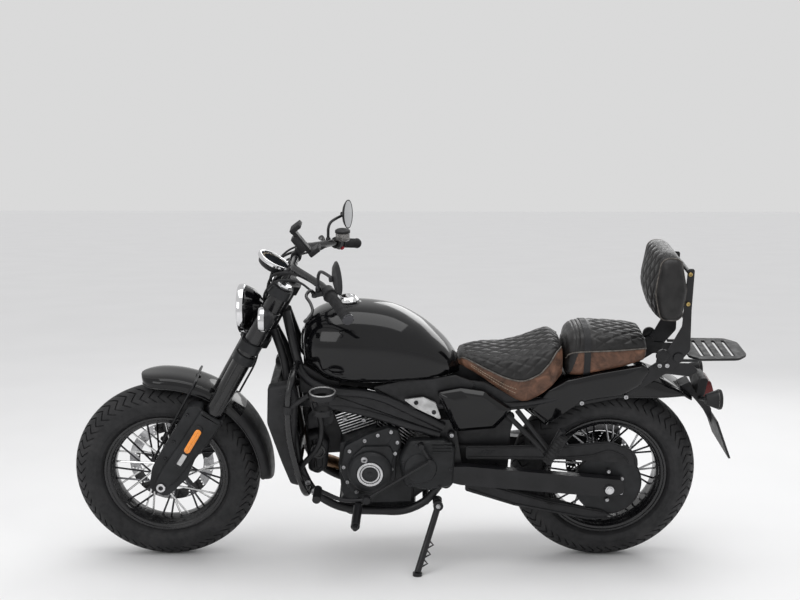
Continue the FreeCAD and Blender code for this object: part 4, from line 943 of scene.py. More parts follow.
# front or rear, axle, tyre half width, rim half width, bore of the disc's friction band
WHEELS = (("front", Bike.FRONT_AXLE, 65, 44, 112), ("rear", Bike.REAR_AXLE, 75, 54, 82))


def tyre(which, centre, half, bead):
    """Motorcycle tyre with zigzag shoulder grooves.

    Crown: y = h sin a, r = R - h + h cos a. A groove row is turned about the
    axle by a zigzag of a, so grid columns run along the groove, and the
    surface there is lowered along the crown's normal by d(a). Each side wall
    is a parabola from the bead over its widest place to the shoulder.
    """
    sizes = bpy.context.scene.cruiser_sizes
    shoulder = Bike.WHEEL_RADIUS - half
    crown = np.radians(np.linspace(-90, 90, 47))
    share = np.linspace(0, 1, 17)[1:, None]
    low, high = np.array([[bead, BEAD_RADIUS]]), np.array([[half, shoulder]])
    mid = np.array([[half - 4.5, BEAD_RADIUS + 0.42 * (shoulder - BEAD_RADIUS)]])
    side = (low * (2 * (share - 0.5) * (share - 1)) + mid * (4 * share * (1 - share))
            + high * (2 * share * (share - 0.5)))
    rings = 1.3 * np.exp(-((side[:, 1] - 224) / 2.2) ** 2) + 0.7 * np.exp(-((side[:, 1] - 240) / 1.6) ** 2)
    side[:, 0] += rings
    base = np.array([[bead, BEAD_RADIUS - 12], [bead, BEAD_RADIUS - 6], [bead + 0.4, BEAD_RADIUS]])
    right = np.concatenate([base, side[:-1]])
    top = np.stack([half * np.sin(crown), shoulder + half * np.cos(crown)], -1)
    profile = np.concatenate([right * [-1, 1], top, right[::-1]])
    angle = np.zeros(len(profile))
    angle[len(right):len(right) + len(crown)] = np.degrees(crown)
    inward = np.stack([-np.sin(np.radians(angle)), -np.cos(np.radians(angle))], -1)
    steep = np.abs(angle)
    depth = sizes.tread_depth * np.clip((steep - 9) / 3, 0, 1) * np.clip((72 - steep) / 5, 0, 1)
    pitches = sizes.tread_pitches
    steps = np.array([0, 0.045, 0.07, 0.16, 0.25, 0.275, 0.36, 0.43])
    steps = np.concatenate([steps, 0.5 + steps])
    left_cut = np.zeros(len(steps))
    left_cut[2:5] = 1
    right_cut = np.roll(left_cut, len(steps) // 2)
    turn = (np.arange(pitches)[:, None] + steps).ravel() / pitches * FULL_TURN
    zigzag = np.interp(steep, [9, 34, 56, 76, 90], [0, 1.15, 0.55, 1.6, 1.8]) / pitches * FULL_TURN
    zigzag = np.where(steep > 0, zigzag, 0)
    zigzag[:len(right)] = zigzag[len(right)]
    zigzag[-len(right):] = zigzag[-len(right) - 1]
    cut = np.where(angle[:, None] < 0, np.tile(left_cut, pitches), np.tile(right_cut, pitches))
    sunk = profile[:, None] + inward[:, None] * (depth[:, None] * cut)[..., None]
    points = centre + axle_circle(sunk[..., 1], turn + zigzag[:, None], sunk[..., 0])
    piece = Piece(f"{which}_tyre_look", f"{which}_wheel", "tyre")
    piece.grid(points, "tyre_rubber", close_rows=True)
    return piece.made([f"{which}_tyre"], smooth=math.radians(32))


def wire_wheel(which, centre, bead):
    """Stepped rim, flanged hub, bent spokes and their nipples.

    A spoke passes through the hub's flange at radius 44, and runs straight
    from there to radius 184 in the rim, 48 degrees on or back about the axle.
    """
    sizes = bpy.context.scene.cruiser_sizes
    piece = Piece(f"{which}_wheel_look", f"{which}_wheel", "wheel_black")
    seat = [(-bead - 5, 214, 2), (-bead, 214, 1.5), (-bead, 203, 1)]
    well = [(bead + 5, 206, 2), (bead + 1, 203, 2), (bead, 196, 3), (bead - 7, 190, 3), (bead - 14, 189, 2),
            (bead - 20, 183, 4), (bead - 34, 181, 4)]
    rim = rounded(symmetric(seat) + symmetric(well), steps=4)
    piece.grid(about_axle(rim, 180, centre), "semi_gloss", close_rows=True)
    hub = rounded(symmetric([(-60, 10.2, 0.5), (-60, 24, 2), (-44, 26, 3), (-38, 30, 2), (-36, 50, 2),
                             (-29, 50, 2), (-25, 36, 5), (-14, 30, 8)]), steps=4)
    piece.grid(about_axle(hub, 96, centre), "semi_gloss", close_rows=True)
    k = np.arange(sizes.spoke_count)
    side = np.where(k % 2 == 1, 1.0, -1.0)
    lead = np.where(k % 4 < 2, 1.0, -1.0)
    rim_turn = FULL_TURN * k / sizes.spoke_count
    hub_turn = rim_turn + np.radians(48) * lead
    head = axle_circle(44, hub_turn, side * (31 - 5.5 * lead))
    elbow = axle_circle(44, hub_turn, side * (31 + 4.5 * lead))
    tip = axle_circle(184, rim_turn, side * 8)
    share = np.array([0.012, 0.03, 0.25, 0.5, 0.75, 1.0])[:, None]
    bend = head[:, None] * 0.25 + elbow[:, None] * 0.75
    straight = elbow[:, None] + (tip - elbow)[:, None] * share
    path = np.concatenate([head[:, None], bend, straight], 1) + centre
    # Spokes leaning one way get pale steel, the others dark chrome: lit and shaded copies of one wire, a
    # painted highlight and painted shade
    lit_spoke_finish = "spoke_steel" if which == "front" else "steel"
    for group, finish in ((lead > 0, lit_spoke_finish), (lead < 0, "dark_chrome")):
        piece.tube(path[group], sizes.spoke_radius, finish, sides=8, up=(0.3, 0.1, 0.9))
    nipple = spun([(2.72, -15), (3.4, -3), (4.25, 0)], 12)
    piece.copies(nipple, "dark_chrome", tip + centre, unit(tip - elbow), up=(0.2, 1, 0.1))
    return piece.made([f"{which}_wheel_rim"])


class CRUISER_OT_wheels(bpy.types.Operator):
    """Tyres, wire wheels, discs and axle ends"""

    bl_idname = "cruiser.wheels"
    bl_label = "Wheels"

    def execute(self, context):
        for which, axle, half, bead, bore in WHEELS:
            tyre(which, axle, half, bead)
        for which, axle, half, bead, bore in WHEELS:
            wire_wheel(which, axle, bead)
        for which, axle, half, bead, bore in WHEELS:
            def carrier(centres, normals, axle=axle, bore=bore):
                return (axle_reach(centres, axle) < bore + 1) * 1
            node = which + "_disc"
            dressed(node, ["disc_steel", "semi_gloss"], carrier, edge=0.0005)
            places = axle + axle_circle(30, ring(5) + 0.3, 65.0)
            screws = Piece(node + "_bolts", which + "_wheel", "disc_steel")
            screws.bolts(5.5, 4, "steel", places, RIGHT).made()

        def pulley_flange(centres, normals):
            return ((axle_reach(centres, Bike.REAR_AXLE) > 104) & (centres[:, 1] < -112)) * 1
        dressed("rear_pulley", ["engine_black", "machined"], pulley_flange)
        for node in ("front_axle", "rear_axle"):
            dressed(node, ["steel", "machined"], lambda c, n: (np.abs(c[:, 1]) > 120) * 1)
        places = Bike.REAR_AXLE + axle_circle(53, ring(6), -127)
        bolts = Piece("pulley_bolts", "rear_wheel", "axle_steel")
        bolts.copies(nut_shape(7, 6), "steel", places, LEFT, up=BACK).made()
        return {"FINISHED"}


# Bodywork

# along, half width, underside, top
TANK = [(-274, 54, 772, 842), (-258, 98, 736, 882), (-205, 138, 698, 916), (-110, 155, 678, 934),
        (20, 153, 678, 919), (120, 134, 684, 871), (200, 102, 692, 802), (244, 62, 702, 742)]
FILLER = np.array([-125.0, 0, 924])
# Outlines of (along, up, corner radius)
SIDE_COVER = [(170, 664, 10), (250, 680, 30), (330, 668, 40), (424, 602, 14), (366, 536, 14), (232, 524, 14)]
SHROUD = [(-384, 690, 14), (-306, 704, 12), (-288, 650, 20), (-300, 420, 30), (-276, 330, 14),
          (-318, 342, 16), (-346, 420, 60), (-390, 560, 60)]
FENDER_SIDE = [(488, 591, 6), (538, 663, 30), (596, 696, 40), (704, 723, 60), (854, 750, 12), (876, 732, 12),
               (848, 681, 40), (793, 645, 30), (709, 632, 60), (642, 617, 40), (593, 577, 40), (547, 543, 6)]


def tank():
    """Teardrop tank about its widest line m, which lies 0.4 of the height up.

    Across: y = w c^0.8. Above m: z = m + (top - m) s^0.94. Below it, where
    the belly is squarer: z = m - (m - underside) s^0.42.
    """
    x = np.linspace(TANK[0][0], TANK[-1][0], 150)
    half, low, high = table_curve(TANK, x)
    turn = ring(128)
    cos, sin = np.cos(turn), np.sin(turn)
    middle = low + 0.40 * (high - low)
    y = half[:, None] * np.sign(cos) * np.abs(cos) ** 0.8
    z = middle[:, None] + np.where(sin > 0, (high - middle)[:, None] * np.abs(sin) ** 0.94,
                                   -(middle - low)[:, None] * np.abs(sin) ** 0.42)
    points = np.stack([x[:, None] + 0 * y, y, z], -1)
    front = domed(points[0], (-9, 0, 0))[::-1]
    back = domed(points[-1], (8, 0, 0))
    Piece("fuel_tank_look", "chassis", "gloss_black").grid(
        np.concatenate([front, points, back]), "gloss_black").made(["fuel_tank"])
    cap = Piece("filler_cap_look", "chassis", "chrome")
    cap.lathe([(33.8, 0), (33.8, 15, 3), (36.5, 16, 1), (36.5, 19, 1.2), (31, 25, 4), (25, 31, 3),
               (22, 30, 1), (0, 30)], "chrome", FILLER, UP, up=BACK, sides=96)
    ribs = FILLER + spun([(36.6, 17.5)], 16)[0]
    knob = spun(rounded([(0, -3), (1.6, -3, 0.6), (1.6, 3, 0.6), (0, 3)], False, 4), 10)
    cap.copies(knob, "chrome", ribs, UP, up=BACK)
    cap.made(["filler_cap"])
    base = Piece("filler_ring", "chassis", "gloss_black")
    base.lathe([(36, 8, 1), (46, 5, 3), (50, 0, 1), (36, 0, 1)], "gloss_black", FILLER + [0, 0, 4], UP,
               up=BACK, sides=96, closed=True)
    base.made()


def fender(node, body, centre, radius, half, skirt, start, sweep, tip, extra=None):
    """Arched mudguard swept about its axle: y = h c^0.58, r = R - k + k s^0.6, narrowing to round tips.

    A front fender has something extra on it, and its rear part is plain
    plastic. A rear one is wide, and its skirt stays level behind the axle.
    """
    turn = np.radians(start + np.linspace(0, sweep, 170))
    ahead = np.clip((turn - turn[0]) / math.radians(tip[0]), 0, 1)
    behind = np.clip((turn[-1] - turn) / math.radians(tip[1]), 0, 1)
    slim = np.sqrt(1 - (1 - ahead) ** 2) * 0.75 + 0.25
    slim = slim * (np.sqrt(1 - (1 - behind) ** 2) * 0.6 + 0.4)
    arch = np.linspace(0, math.pi, 57)
    cos, sin = np.cos(arch), np.sin(arch)

    def shell(wide, deep, outer):
        y = wide * np.sign(cos) * np.abs(cos) ** 0.58 * slim[:, None]
        rise = np.abs(sin) ** 0.6
        crease = 1.2 * np.exp(-((np.abs(arch - math.pi / 2) - 0.82) / 0.05) ** 2)
        if not extra:
            level = np.maximum(outer - (radius - skirt) / np.maximum(np.cos(turn), 0.6), 8)
            deep = np.where(turn > 0, np.minimum(deep, level), deep)[:, None]
        r = outer - deep * (0.35 + 0.65 * slim[:, None]) * (1 - rise) + crease * (outer == radius)
        return centre + axle_circle(r, turn[:, None], y)

    outside, inside = shell(half, skirt, radius), shell(half - 3, skirt - 1, radius - 3)
    piece = Piece(node + "_look", body, "gloss_black")
    skin = np.concatenate([outside, inside[:, ::-1]], 1)
    cut = 98 if extra else len(skin) - 1
    piece.grid(skin[:cut + 1], "gloss_black", caps=True)
    if extra:
        piece.grid(skin[cut:], "moulded", caps=True)
    for hem in (outside[1:-1, 0], outside[1:-1, -1]):
        piece.tube(hem + (centre - hem) * 0.002, 2.4, "semi_gloss", sides=10)
    if extra:
        extra(piece)
    return piece.made([node])


def fender_rod(piece):
    """Bent rod over the front fender: a hoop in the plane x = -124 of the steering frame."""
    path = rounded(symmetric([(-84, 384), (-84, 700.6, 13.4)]), False, 9)
    legs = [np.linspace(path[k], path[k + 1], 12) for k in (0, -2)]
    path = np.concatenate([legs[0][:-1], path[1:-1], legs[1][1:]])
    piece.tube(Bike.steered(np.stack([-124 + 0 * path[:, 0], path[:, 0], path[:, 1]], -1)), 4, "satin_black",
               up=(0.9, 0, 0.45))
    for side in SIDES:
        piece.lathe([(0, -4), (8, -4, 1), (8, 4, 1), (0, 4)], "black_bolt",
                    Bike.steered((-124, side * 84, 384)), (0, side, 0))
    piece.lathe([(0, -3), (9, -3, 1), (9, 3, 1), (0, 3)], "satin_black", Bike.steered((-122, 0, 699)),
                Bike.steer_axis(), up=RIGHT)


class CRUISER_OT_bodywork(bpy.types.Operator):
    """Tank, filler cap, fenders, side covers and radiator shrouds"""

    bl_idname = "cruiser.bodywork"
    bl_label = "Bodywork"

    def execute(self, context):
        tank()
        fender("front_fender", "steering", Bike.FRONT_AXLE, 368, 77, 38, -11, 104, (12, 5), fender_rod)
        fender("rear_fender", "chassis", Bike.REAR_AXLE + [10, 0, 8], 392, 96, 90, -50, 95, (2, 20))
        covers = Piece("side_covers_look", "chassis", "gloss_black")
        covers.crowned(SIDE_COVER, (300, 606), [(1.0, -126), (1.0, -139), (0.985, -142), (0.79, -155),
                                                (0.765, -156.4), (0.3, -158.5)], "gloss_black")
        covers.bolts(7, 4, "steel", [(222, -141, 511)], both=True)
        covers.lathe([(0, 0), (11, 0, 1), (11, 12, 3), (0, 13)], "satin_black", (222, -129, 511), LEFT,
                     up=BACK, both=True)
        covers.made(["side_covers"])
        sides = Piece("rear_fender_sides", "chassis", "gloss_black")
        sides.crowned(FENDER_SIDE, (690, 666), [(1.0, -96), (1.0, -112), (0.985, -116), (0.95, -119),
                                                (0.84, -123), (0.6, -125.5), (0.3, -126.5)], "gloss_black")
        sides.made()
        shrouds = Piece("radiator_shrouds_look", "chassis", "black_plastic")
        shrouds.pressed(SHROUD, [(0, -124), (0, -154), (2, -161), (7, -166), (11, -167.4)], "moulded", True)
        for x, z in ((-340, 668), (-312, 372)):
            shrouds.bolts(5, 3, "black_bolt", [(x, -166, z)], both=True)
        shrouds.made(["radiator_shrouds"])
        return {"FINISHED"}


# Seats

# along, half width, underside, top
RIDER_SEAT = [(248, 50, 728, 750), (262, 66, 726, 768), (320, 98, 698, 776), (393, 128, 654, 776),
              (453, 143, 626, 788), (503, 148, 644, 805), (552, 138, 680, 822), (584, 112, 712, 806)]
PASSENGER_SEAT = [(600, 86, 708, 808), (612, 100, 707, 842), (650, 112, 710, 859), (760, 115, 734, 853),
                  (846, 105, 758, 842), (862, 88, 770, 824)]
# along, share of the height at which the piping runs
RIDER_PIPING = [(248, 0.80), (285, 0.62), (324, 0.51), (392, 0.48), (451, 0.49), (509, 0.53), (540, 0.64),
                (566, 0.84), (584, 0.94)]
PASSENGER_PIPING = [(600, 0.58), (700, 0.57), (862, 0.56)]
# Right half of a cushion's section, as shares of its half width and height
CUSHION = [(0, 0), (0.55, 0.0), (0.86, 0.015), (0.97, 0.10), (1.0, 0.30), (0.985, 0.50), (0.955, 0.64),
           (0.91, 0.76), (0.78, 0.89), (0.52, 0.965), (0.26, 0.993), (0, 1.0)]
CUSHION_POINTS = 110
STITCH_GAP, STITCH_RADIUS = 3.2, 0.75
# Points of the section that the strap leaves free at the bottom
STRAP_EDGE = 7
# The backrest pad's half width across the bike, its seams' distance from the middle, and its middle's height
PAD_HALF = 140
PAD_SEAM = 116
PAD_MIDDLE = 1014


def pillow(along, across):
    """Quilted diamonds: 1 - exp(-d / 4.5), with d the distance in mm to the nearer of two seam families."""
    sizes = bpy.context.scene.cruiser_sizes
    length, width = sizes.quilt_length, sizes.quilt_width
    first, second = along / length + across / width, along / length - across / width
    near = np.minimum(np.abs(first - np.round(first)), np.abs(second - np.round(second)))
    return 1 - np.exp(-near * length * width / math.hypot(length, width) / 4.5)


def dashes(piece, path, lift, finish):
    """Stitches along a line: short tubes whose ends dip into the leather."""
    length = bpy.context.scene.cruiser_sizes.stitch_length
    along = travelled(path)
    start = np.arange(0, along[-1] - length, length + STITCH_GAP)
    at = start[:, None] + np.array([0, 0.25, 0.75, 1.0]) * length
    line, out = (np.stack([np.interp(at, along, values[:, k]) for k in range(3)], -1)
                 for values in (path, lift))
    stitches = line + out * np.array([-0.5, 0.45, 0.45, -0.5])[None, :, None]
    return piece.tube(stitches, STITCH_RADIUS, finish, sides=6, up=(0.1, 0.2, 1))


def on_columns(surface, column):
    """Points of a surface at a fractional column in each row."""
    row, low = np.arange(len(surface)), np.floor(column).astype(int)
    part = (column - low)[:, None]
    return surface[row, low] * (1 - part) + surface[row, (low + 1) % surface.shape[1]] * part


def ramp(values, start, width):
    """0 up to start, 1 from start + width on, and straight between."""
    return np.clip((values - start) / width, 0, 1)


def cushion(node, table, piping, quilt_from, band_from, seams=(), strap=None, stitches=None):
    """Crowned seat with sewn diamonds, piping and a leather band.

    The section's shares of half width and height come from CUSHION, scaled by
    the table's half width, underside and top at x; the top is moved along its
    normals by the quilt's pillow height. The piping runs at its own share of
    the height, and the band lies below it from x = a + b share.
    """
    sizes = bpy.context.scene.cruiser_sizes
    x = np.linspace(table[0][0], table[-1][0], int((table[-1][0] - table[0][0]) / 1.9))
    half, low, high = table_curve(table, x)
    section = half_section(CUSHION, CUSHION_POINTS)
    top = CUSHION_POINTS - 1
    points = np.stack([x[:, None] + 0 * section[:, 0], half[:, None] * section[:, 0],
                       low[:, None] + (high - low)[:, None] * section[:, 1]], -1)
    normal = grid_normals(points)
    normal *= np.sign(normal[len(x) // 2, top, 2])
    step = np.linalg.norm(np.diff(points, axis=1), axis=2)
    across = np.concatenate([np.zeros((len(x), 1)), np.cumsum(step, 1)], 1)
    across -= across[:, top:top + 1]
    share, columns = section[:, 1], np.arange(len(section))
    level = np.interp(x, *np.array(piping).T)
    edge = np.interp(level, share[:top + 1], columns[:top + 1])
    other = len(section) - edge
    inside = ramp(columns, edge[:, None], 6) * ramp(-columns, -other[:, None], 6)
    fade = ramp(x, quilt_from, 10) * ramp(-x, -x[-1], 10)
    raised = (pillow(x[:, None] - x[0], across) - 0.45) * sizes.quilt_depth * inside * fade[:, None]
    for seam in seams:
        raised -= 2.8 * inside * np.exp(-((x[:, None] - seam) / 2.2) ** 2)
    for line in (edge, other):
        raised -= 1.6 * np.exp(-((columns - line[:, None]) / 1.6) ** 2)
    skin = points + normal * raised[..., None]
    nose, tail = domed(skin[0], (-7, 0, 0), 6)[::-1], domed(skin[-1], (7, 0, 0), 6)
    piece = Piece(node + "_look", "chassis", "seat_leather")
    black, brown = piece.mark("black_leather"), piece.mark("brown_leather")
    rows = np.clip(np.arange(len(nose) + len(x) + len(tail) - 1) - len(nose), 0, len(x) - 1)
    band = ((columns < edge[rows, None]) | (columns >= other[rows, None])) & (share > 0.012)
    band &= x[rows, None] > band_from[0] + band_from[1] * share
    piece.add(np.concatenate([nose, skin, tail]), grid_faces(len(rows) + 1, len(section)),
              np.where(band, brown, black).ravel())
    for line in (edge, other):
        piece.tube(on_columns(points, line) + on_columns(normal, line) * 0.6, sizes.piping_radius,
                   "pale_piping", sides=10, up=(0.05, 0, 1))
    if stitches:
        keep = (x > stitches[0]) & (x < stitches[1])
        for line in (edge - 8, edge - 12, other + 8, other + 12):
            dashes(piece, on_columns(skin, line)[keep], on_columns(normal, line)[keep], "cream_thread")
    if strap:
        keep = (x > strap[0]) & (x < strap[1])
        lift = normal[keep][:, STRAP_EDGE:-STRAP_EDGE]
        sheet = skin[keep][:, STRAP_EDGE:-STRAP_EDGE] + lift * 0.3
        over = sheet + lift * 2.2
        piece.grid(np.concatenate([sheet, over[::-1]]).transpose(1, 0, 2), "moulded", caps=True)
    thing = piece.made([node], smooth=math.radians(60))
    return thing


def backrest():
    """Upright pad: towards its sides the height shrinks by 0.26 d and the outline moves in by 22 d.

    d is 1 - sqrt(1 - t^2), with t running from 0 at a start to 1 at the side.
    The front is crowned by 26 cos(pi y / 2 Y) sin(pi h), with Y the pad's half
    width and h running from 0 to 1 up the pad.
    """
    sizes = bpy.context.scene.cruiser_sizes
    outline = resampled(rounded([(898, 900, 24), (882, 1000, 60), (890, 1128, 28), (950, 1124, 28),
                                 (974, 1010, 60), (962, 898, 24)], steps=12), 230, True)
    inward, centre = inward_normals(outline), outline.mean(0)
    y = np.linspace(-PAD_HALF, PAD_HALF, 150)

    def drop(start):
        past = np.clip((np.abs(y) - start) / (PAD_HALF + 0.001 - start), 0, 1)
        return 1 - np.sqrt(np.clip(1 - past ** 2, 0, 1))
    flat = outline + inward * (22 * drop(PAD_SEAM))[:, None, None]
    flat[..., 1] = PAD_MIDDLE + (flat[..., 1] - PAD_MIDDLE) * (1 - 0.26 * drop(56))[:, None]
    points = np.stack([flat[..., 0], y[:, None] + 0 * flat[..., 0], flat[..., 1]], -1)
    height = outline[:, 1]
    front = np.clip(inward[:, 0] / 0.5, 0, 1) * (outline[:, 0] < centre[0])
    face = front[None] * ramp(-np.abs(y), 4 - PAD_SEAM, 10)[:, None]
    tall = ramp(height, 906, 14) * ramp(-height, -1122, 14)
    raised = (pillow(points[..., 2], points[..., 1]) - 0.3) * sizes.quilt_depth * face * tall
    crown = np.cos(math.pi * y / (2 * PAD_HALF))[:, None] * front
    crown = 26 * crown * np.sin(math.pi * (height - 890) / 240).clip(0, 1)
    outward = np.stack([-inward[:, 0], 0 * inward[:, 0], -inward[:, 1]], -1)
    skin = points + outward[None] * (raised + crown)[..., None]
    for side in SIDES:
        skin -= outward[None] * (1.8 * np.exp(-((y - side * PAD_SEAM) / 1.8) ** 2))[:, None, None]
    piece = Piece("backrest_pad_look", "chassis", "seat_leather")
    piece.grid(skin, "black_leather", caps=True)
    for side in SIDES:
        loop = skin[int(np.argmin(np.abs(y - side * PAD_SEAM)))] + outward * 1.4
        piece.tube(np.concatenate([loop, loop[:3]]), sizes.piping_radius, "pale_piping", sides=10, up=ASIDE)
    thing = piece.made(["backrest_pad"], smooth=math.radians(60))


class CRUISER_OT_seats(bpy.types.Operator):
    """Quilted rider's seat, passenger seat and backrest"""

    bl_idname = "cruiser.seats"
    bl_label = "Seats"

    def execute(self, context):
        cushion("rider_seat", RIDER_SEAT, RIDER_PIPING, 262, (200, 0), stitches=(285, 440))
        cushion("passenger_seat", PASSENGER_SEAT, PASSENGER_PIPING, 682, (610, 45), seams=(628, 642),
                strap=(655, 678))
        backrest()
        return {"FINISHED"}


# Lamps, gauge and mirrors


def headlamp():
    """Chrome rim, fluted lens, gloss bowl on two legs, and a reflector h = -6 - 40 (1 - (r / 69)^2)."""
    at, ahead = (-486, 0, 910), (-1, 0, 0)
    lamp = Piece("headlamp_look", "steering", "gloss_black")
    lamp.lathe([(70, -3, 1), (71, 3, 2), (76, 4, 2), (81, 0, 4), (82, -8, 3), (82, -18, 2), (78, -22, 2),
                (74, -20, 1)], "chrome", at, ahead, sides=128, closed=True)
    lamp.lathe([(73, -18), (78, -23, 2), (76, -28, 4), (65, -50, 16), (44, -70, 16), (18, -86, 8), (0, -86)],
               "gloss_black", at, ahead, sides=128)
    lamp.shell(lens_profile(70.5, -1, 12), "lamp_glass", at, ahead, 128)
    bowl = np.linspace(0, 69, 16)
    mirror = np.stack([bowl, -6 - 40 * (1 - (bowl / 69) ** 2)], -1)
    lamp.shell(np.concatenate([mirror, (mirror + [0, -1.5])[::-1]]), "chrome", at, ahead, 96)
    lamp.lathe([(0, -46), (7, -46), (7, -24, 2), (12, -22, 2), (12, -14, 3), (0, -12)], "chrome", at, ahead,
               sides=32)
    for side in SIDES:
        foot, knee = (Bike.steered((-26, side * 46, s)) for s in (937.4, 944))
        bracket = np.array([-440, side * 36, 884])
        lamp.lathe([(0, 0), (9, 0, 1), (9, 5, 2), (7, 10, 1), (0, 10)], "satin_black", foot,
                   Bike.steer_axis(), up=RIGHT)
        lamp.tube(flowing([knee, knee * 0.5 + bracket * 0.5, bracket], 12), 6, "satin_black")
        lamp.copies(bolt_shape(5, 4), "steel", [(-462, side * 71, 910)], (0, side, 0), up=UP)
    lamp.made(["headlamp"])


def gauge():
    """Round dial tipped towards the rider, with pale ticks, on a stem from the steering."""
    axis = (0.5, 0, 0.866)
    centre = np.array([-371.0, 0, 1065])
    dial = Piece("gauge_look", "steering", "black_plastic")
    dial.lathe([(0, -17), (38, -17, 5), (46, -12, 5), (54, 6, 4), (55, 12)], "moulded", centre, axis,
               sides=96)
    dial.lathe([(49, 14, 1), (51, 19, 1.5), (57, 19, 2), (59.5, 14, 2), (59.5, 6, 2), (55, 5, 1)], "chrome",
               centre, axis, sides=96, closed=True)
    dial.lathe([(0, 12), (50, 12), (50, 14), (0, 14)], "dial_face", centre, axis, sides=96)
    turn = np.radians(np.linspace(-130, 130, 27))[:, None]
    along = unit(axis)
    across = np.cross(RIGHT, along)
    face = centre + along * 14.4
    ticks = face + 41 * (np.sin(turn) * np.array(RIGHT) - np.cos(turn) * across)
    dial.copies(spun([(0.7, -3.5), (0.7, 3.5)], 6), "cream_thread", ticks, unit(ticks - face), up=along)
    stem = [Bike.steered((-26, 0, 1150.4)), Bike.steered((-26, 0, 1160)), centre - along * 15]
    dial.tube(flowing(stem, 14), 8, "satin_black")
    dial.made(["gauge"])


def signals():
    """Round turn signals: bright ring, bulged lens and a black cone behind, on a stem from the fork."""
    radius, centre, ahead = 38.0, np.array([-380.0, -190, 935]), (-1, 0, 0)
    lamps = Piece("front_signals_look", "steering", "black_plastic")
    lamps.lathe([(radius - 5, 17, 0.8), (radius - 4, 21, 1), (radius, 20, 1.5), (radius + 1.5, 14, 1.5),
                 (radius + 1.5, 2, 1.5), (radius - 1, 0, 1)], "chrome", centre, ahead, sides=72, both=True,
                closed=True)
    lamps.lathe([(radius - 2, 16), (radius - 0.5, 10, 3), (radius * 0.82, -10, 12), (radius * 0.45, -24, 6),
                 (0, -25)], "moulded", centre, ahead, sides=72, both=True)
    lamps.shell(lens_profile(radius - 4.5, 18, 7), "smoked_lens", centre, ahead, 72, True)
    lamps.tube(np.linspace(Bike.steered((-23, -140.5, 1052)), centre, 8), 8, "moulded", both=True, up=BACK)
    lamps.lathe([(30.4, -11, 0.5), (35, -11, 1.5), (35, 11, 1.5), (30.4, 11, 0.5)], "semi_gloss",
                Bike.steered((*Bike.FORK_LEG, 1052)), Bike.steer_axis(), up=RIGHT, both=True, closed=True)
    lamps.made(["front_signals"])


def mirrors():
    """Thin round shells on bent stems."""
    piece = Piece("mirrors_look", "steering", "black_plastic")
    centre, facing = np.array([-138.0, -398, 1135]), unit((0.93, 0.25, 0.05))
    foot = np.array([-203.2, -289.5, 1064.5])
    piece.lathe([(0, -15), (20, -13.5, 8), (40, -8.5, 10), (51, -1, 3), (52.5, 3, 1), (49.5, 3.6, 0.6),
                 (49, 1.5, 0.4), (0, 1.5)], "moulded", centre, facing, sides=96, both=True)
    piece.lathe([(0, 1.8), (48.6, 1.8, 0.2), (48.2, 2.6, 0.2), (0, 2.9)], "mirror_glass", centre, facing,
                sides=96, both=True)
    stem = [foot, foot + [0, 0, 24], foot + [2, -3, 50], foot + [14, -26, 66], centre - facing * 12]
    piece.tube(flowing(stem, 40), 5, "satin_black", both=True, up=(1, 0.2, 0))
    piece.lathe([(0, -2), (9, -2, 1), (9, 8, 2), (6, 14, 1), (0, 14)], "black_bolt", foot, UP, up=BACK,
                both=True)
    piece.lathe([(0, -8), (8, -8, 2), (9, 0, 2), (6, 6, 1), (0, 6)], "moulded", centre - facing * 18, facing,
                both=True)
    piece.made(["mirrors"])


class CRUISER_OT_lamps(bpy.types.Operator):
    """Headlamp, gauge, turn signals and mirrors"""

    bl_idname = "cruiser.lamps"
    bl_label = "Lamps and mirrors"

    def execute(self, context):
        headlamp()
        gauge()
        signals()
        mirrors()
        return {"FINISHED"}


# Handlebar controls

LEFT_GRIP_INNER, LEFT_GRIP_TIP = np.array([-165.1, -307.1, 1053.1]), np.array([-108.0, -430, 1018])
LEVER = [(-225, -318, 1072), (-237, -338, 1061), (-223, -362, 1046), (-215, -388, 1029), (-227, -412, 1013),
         (-238, -424, 1007)]
CABLE = [(-387, -62, 983), (-377, -74, 1025), (-359, -92, 1053), (-324, -116, 1068), (-279, -150, 1071),
         (-233, -200, 1065), (-198, -262, 1061)]
CABLE_POINTS = 60
LEVER_POINTS = 48


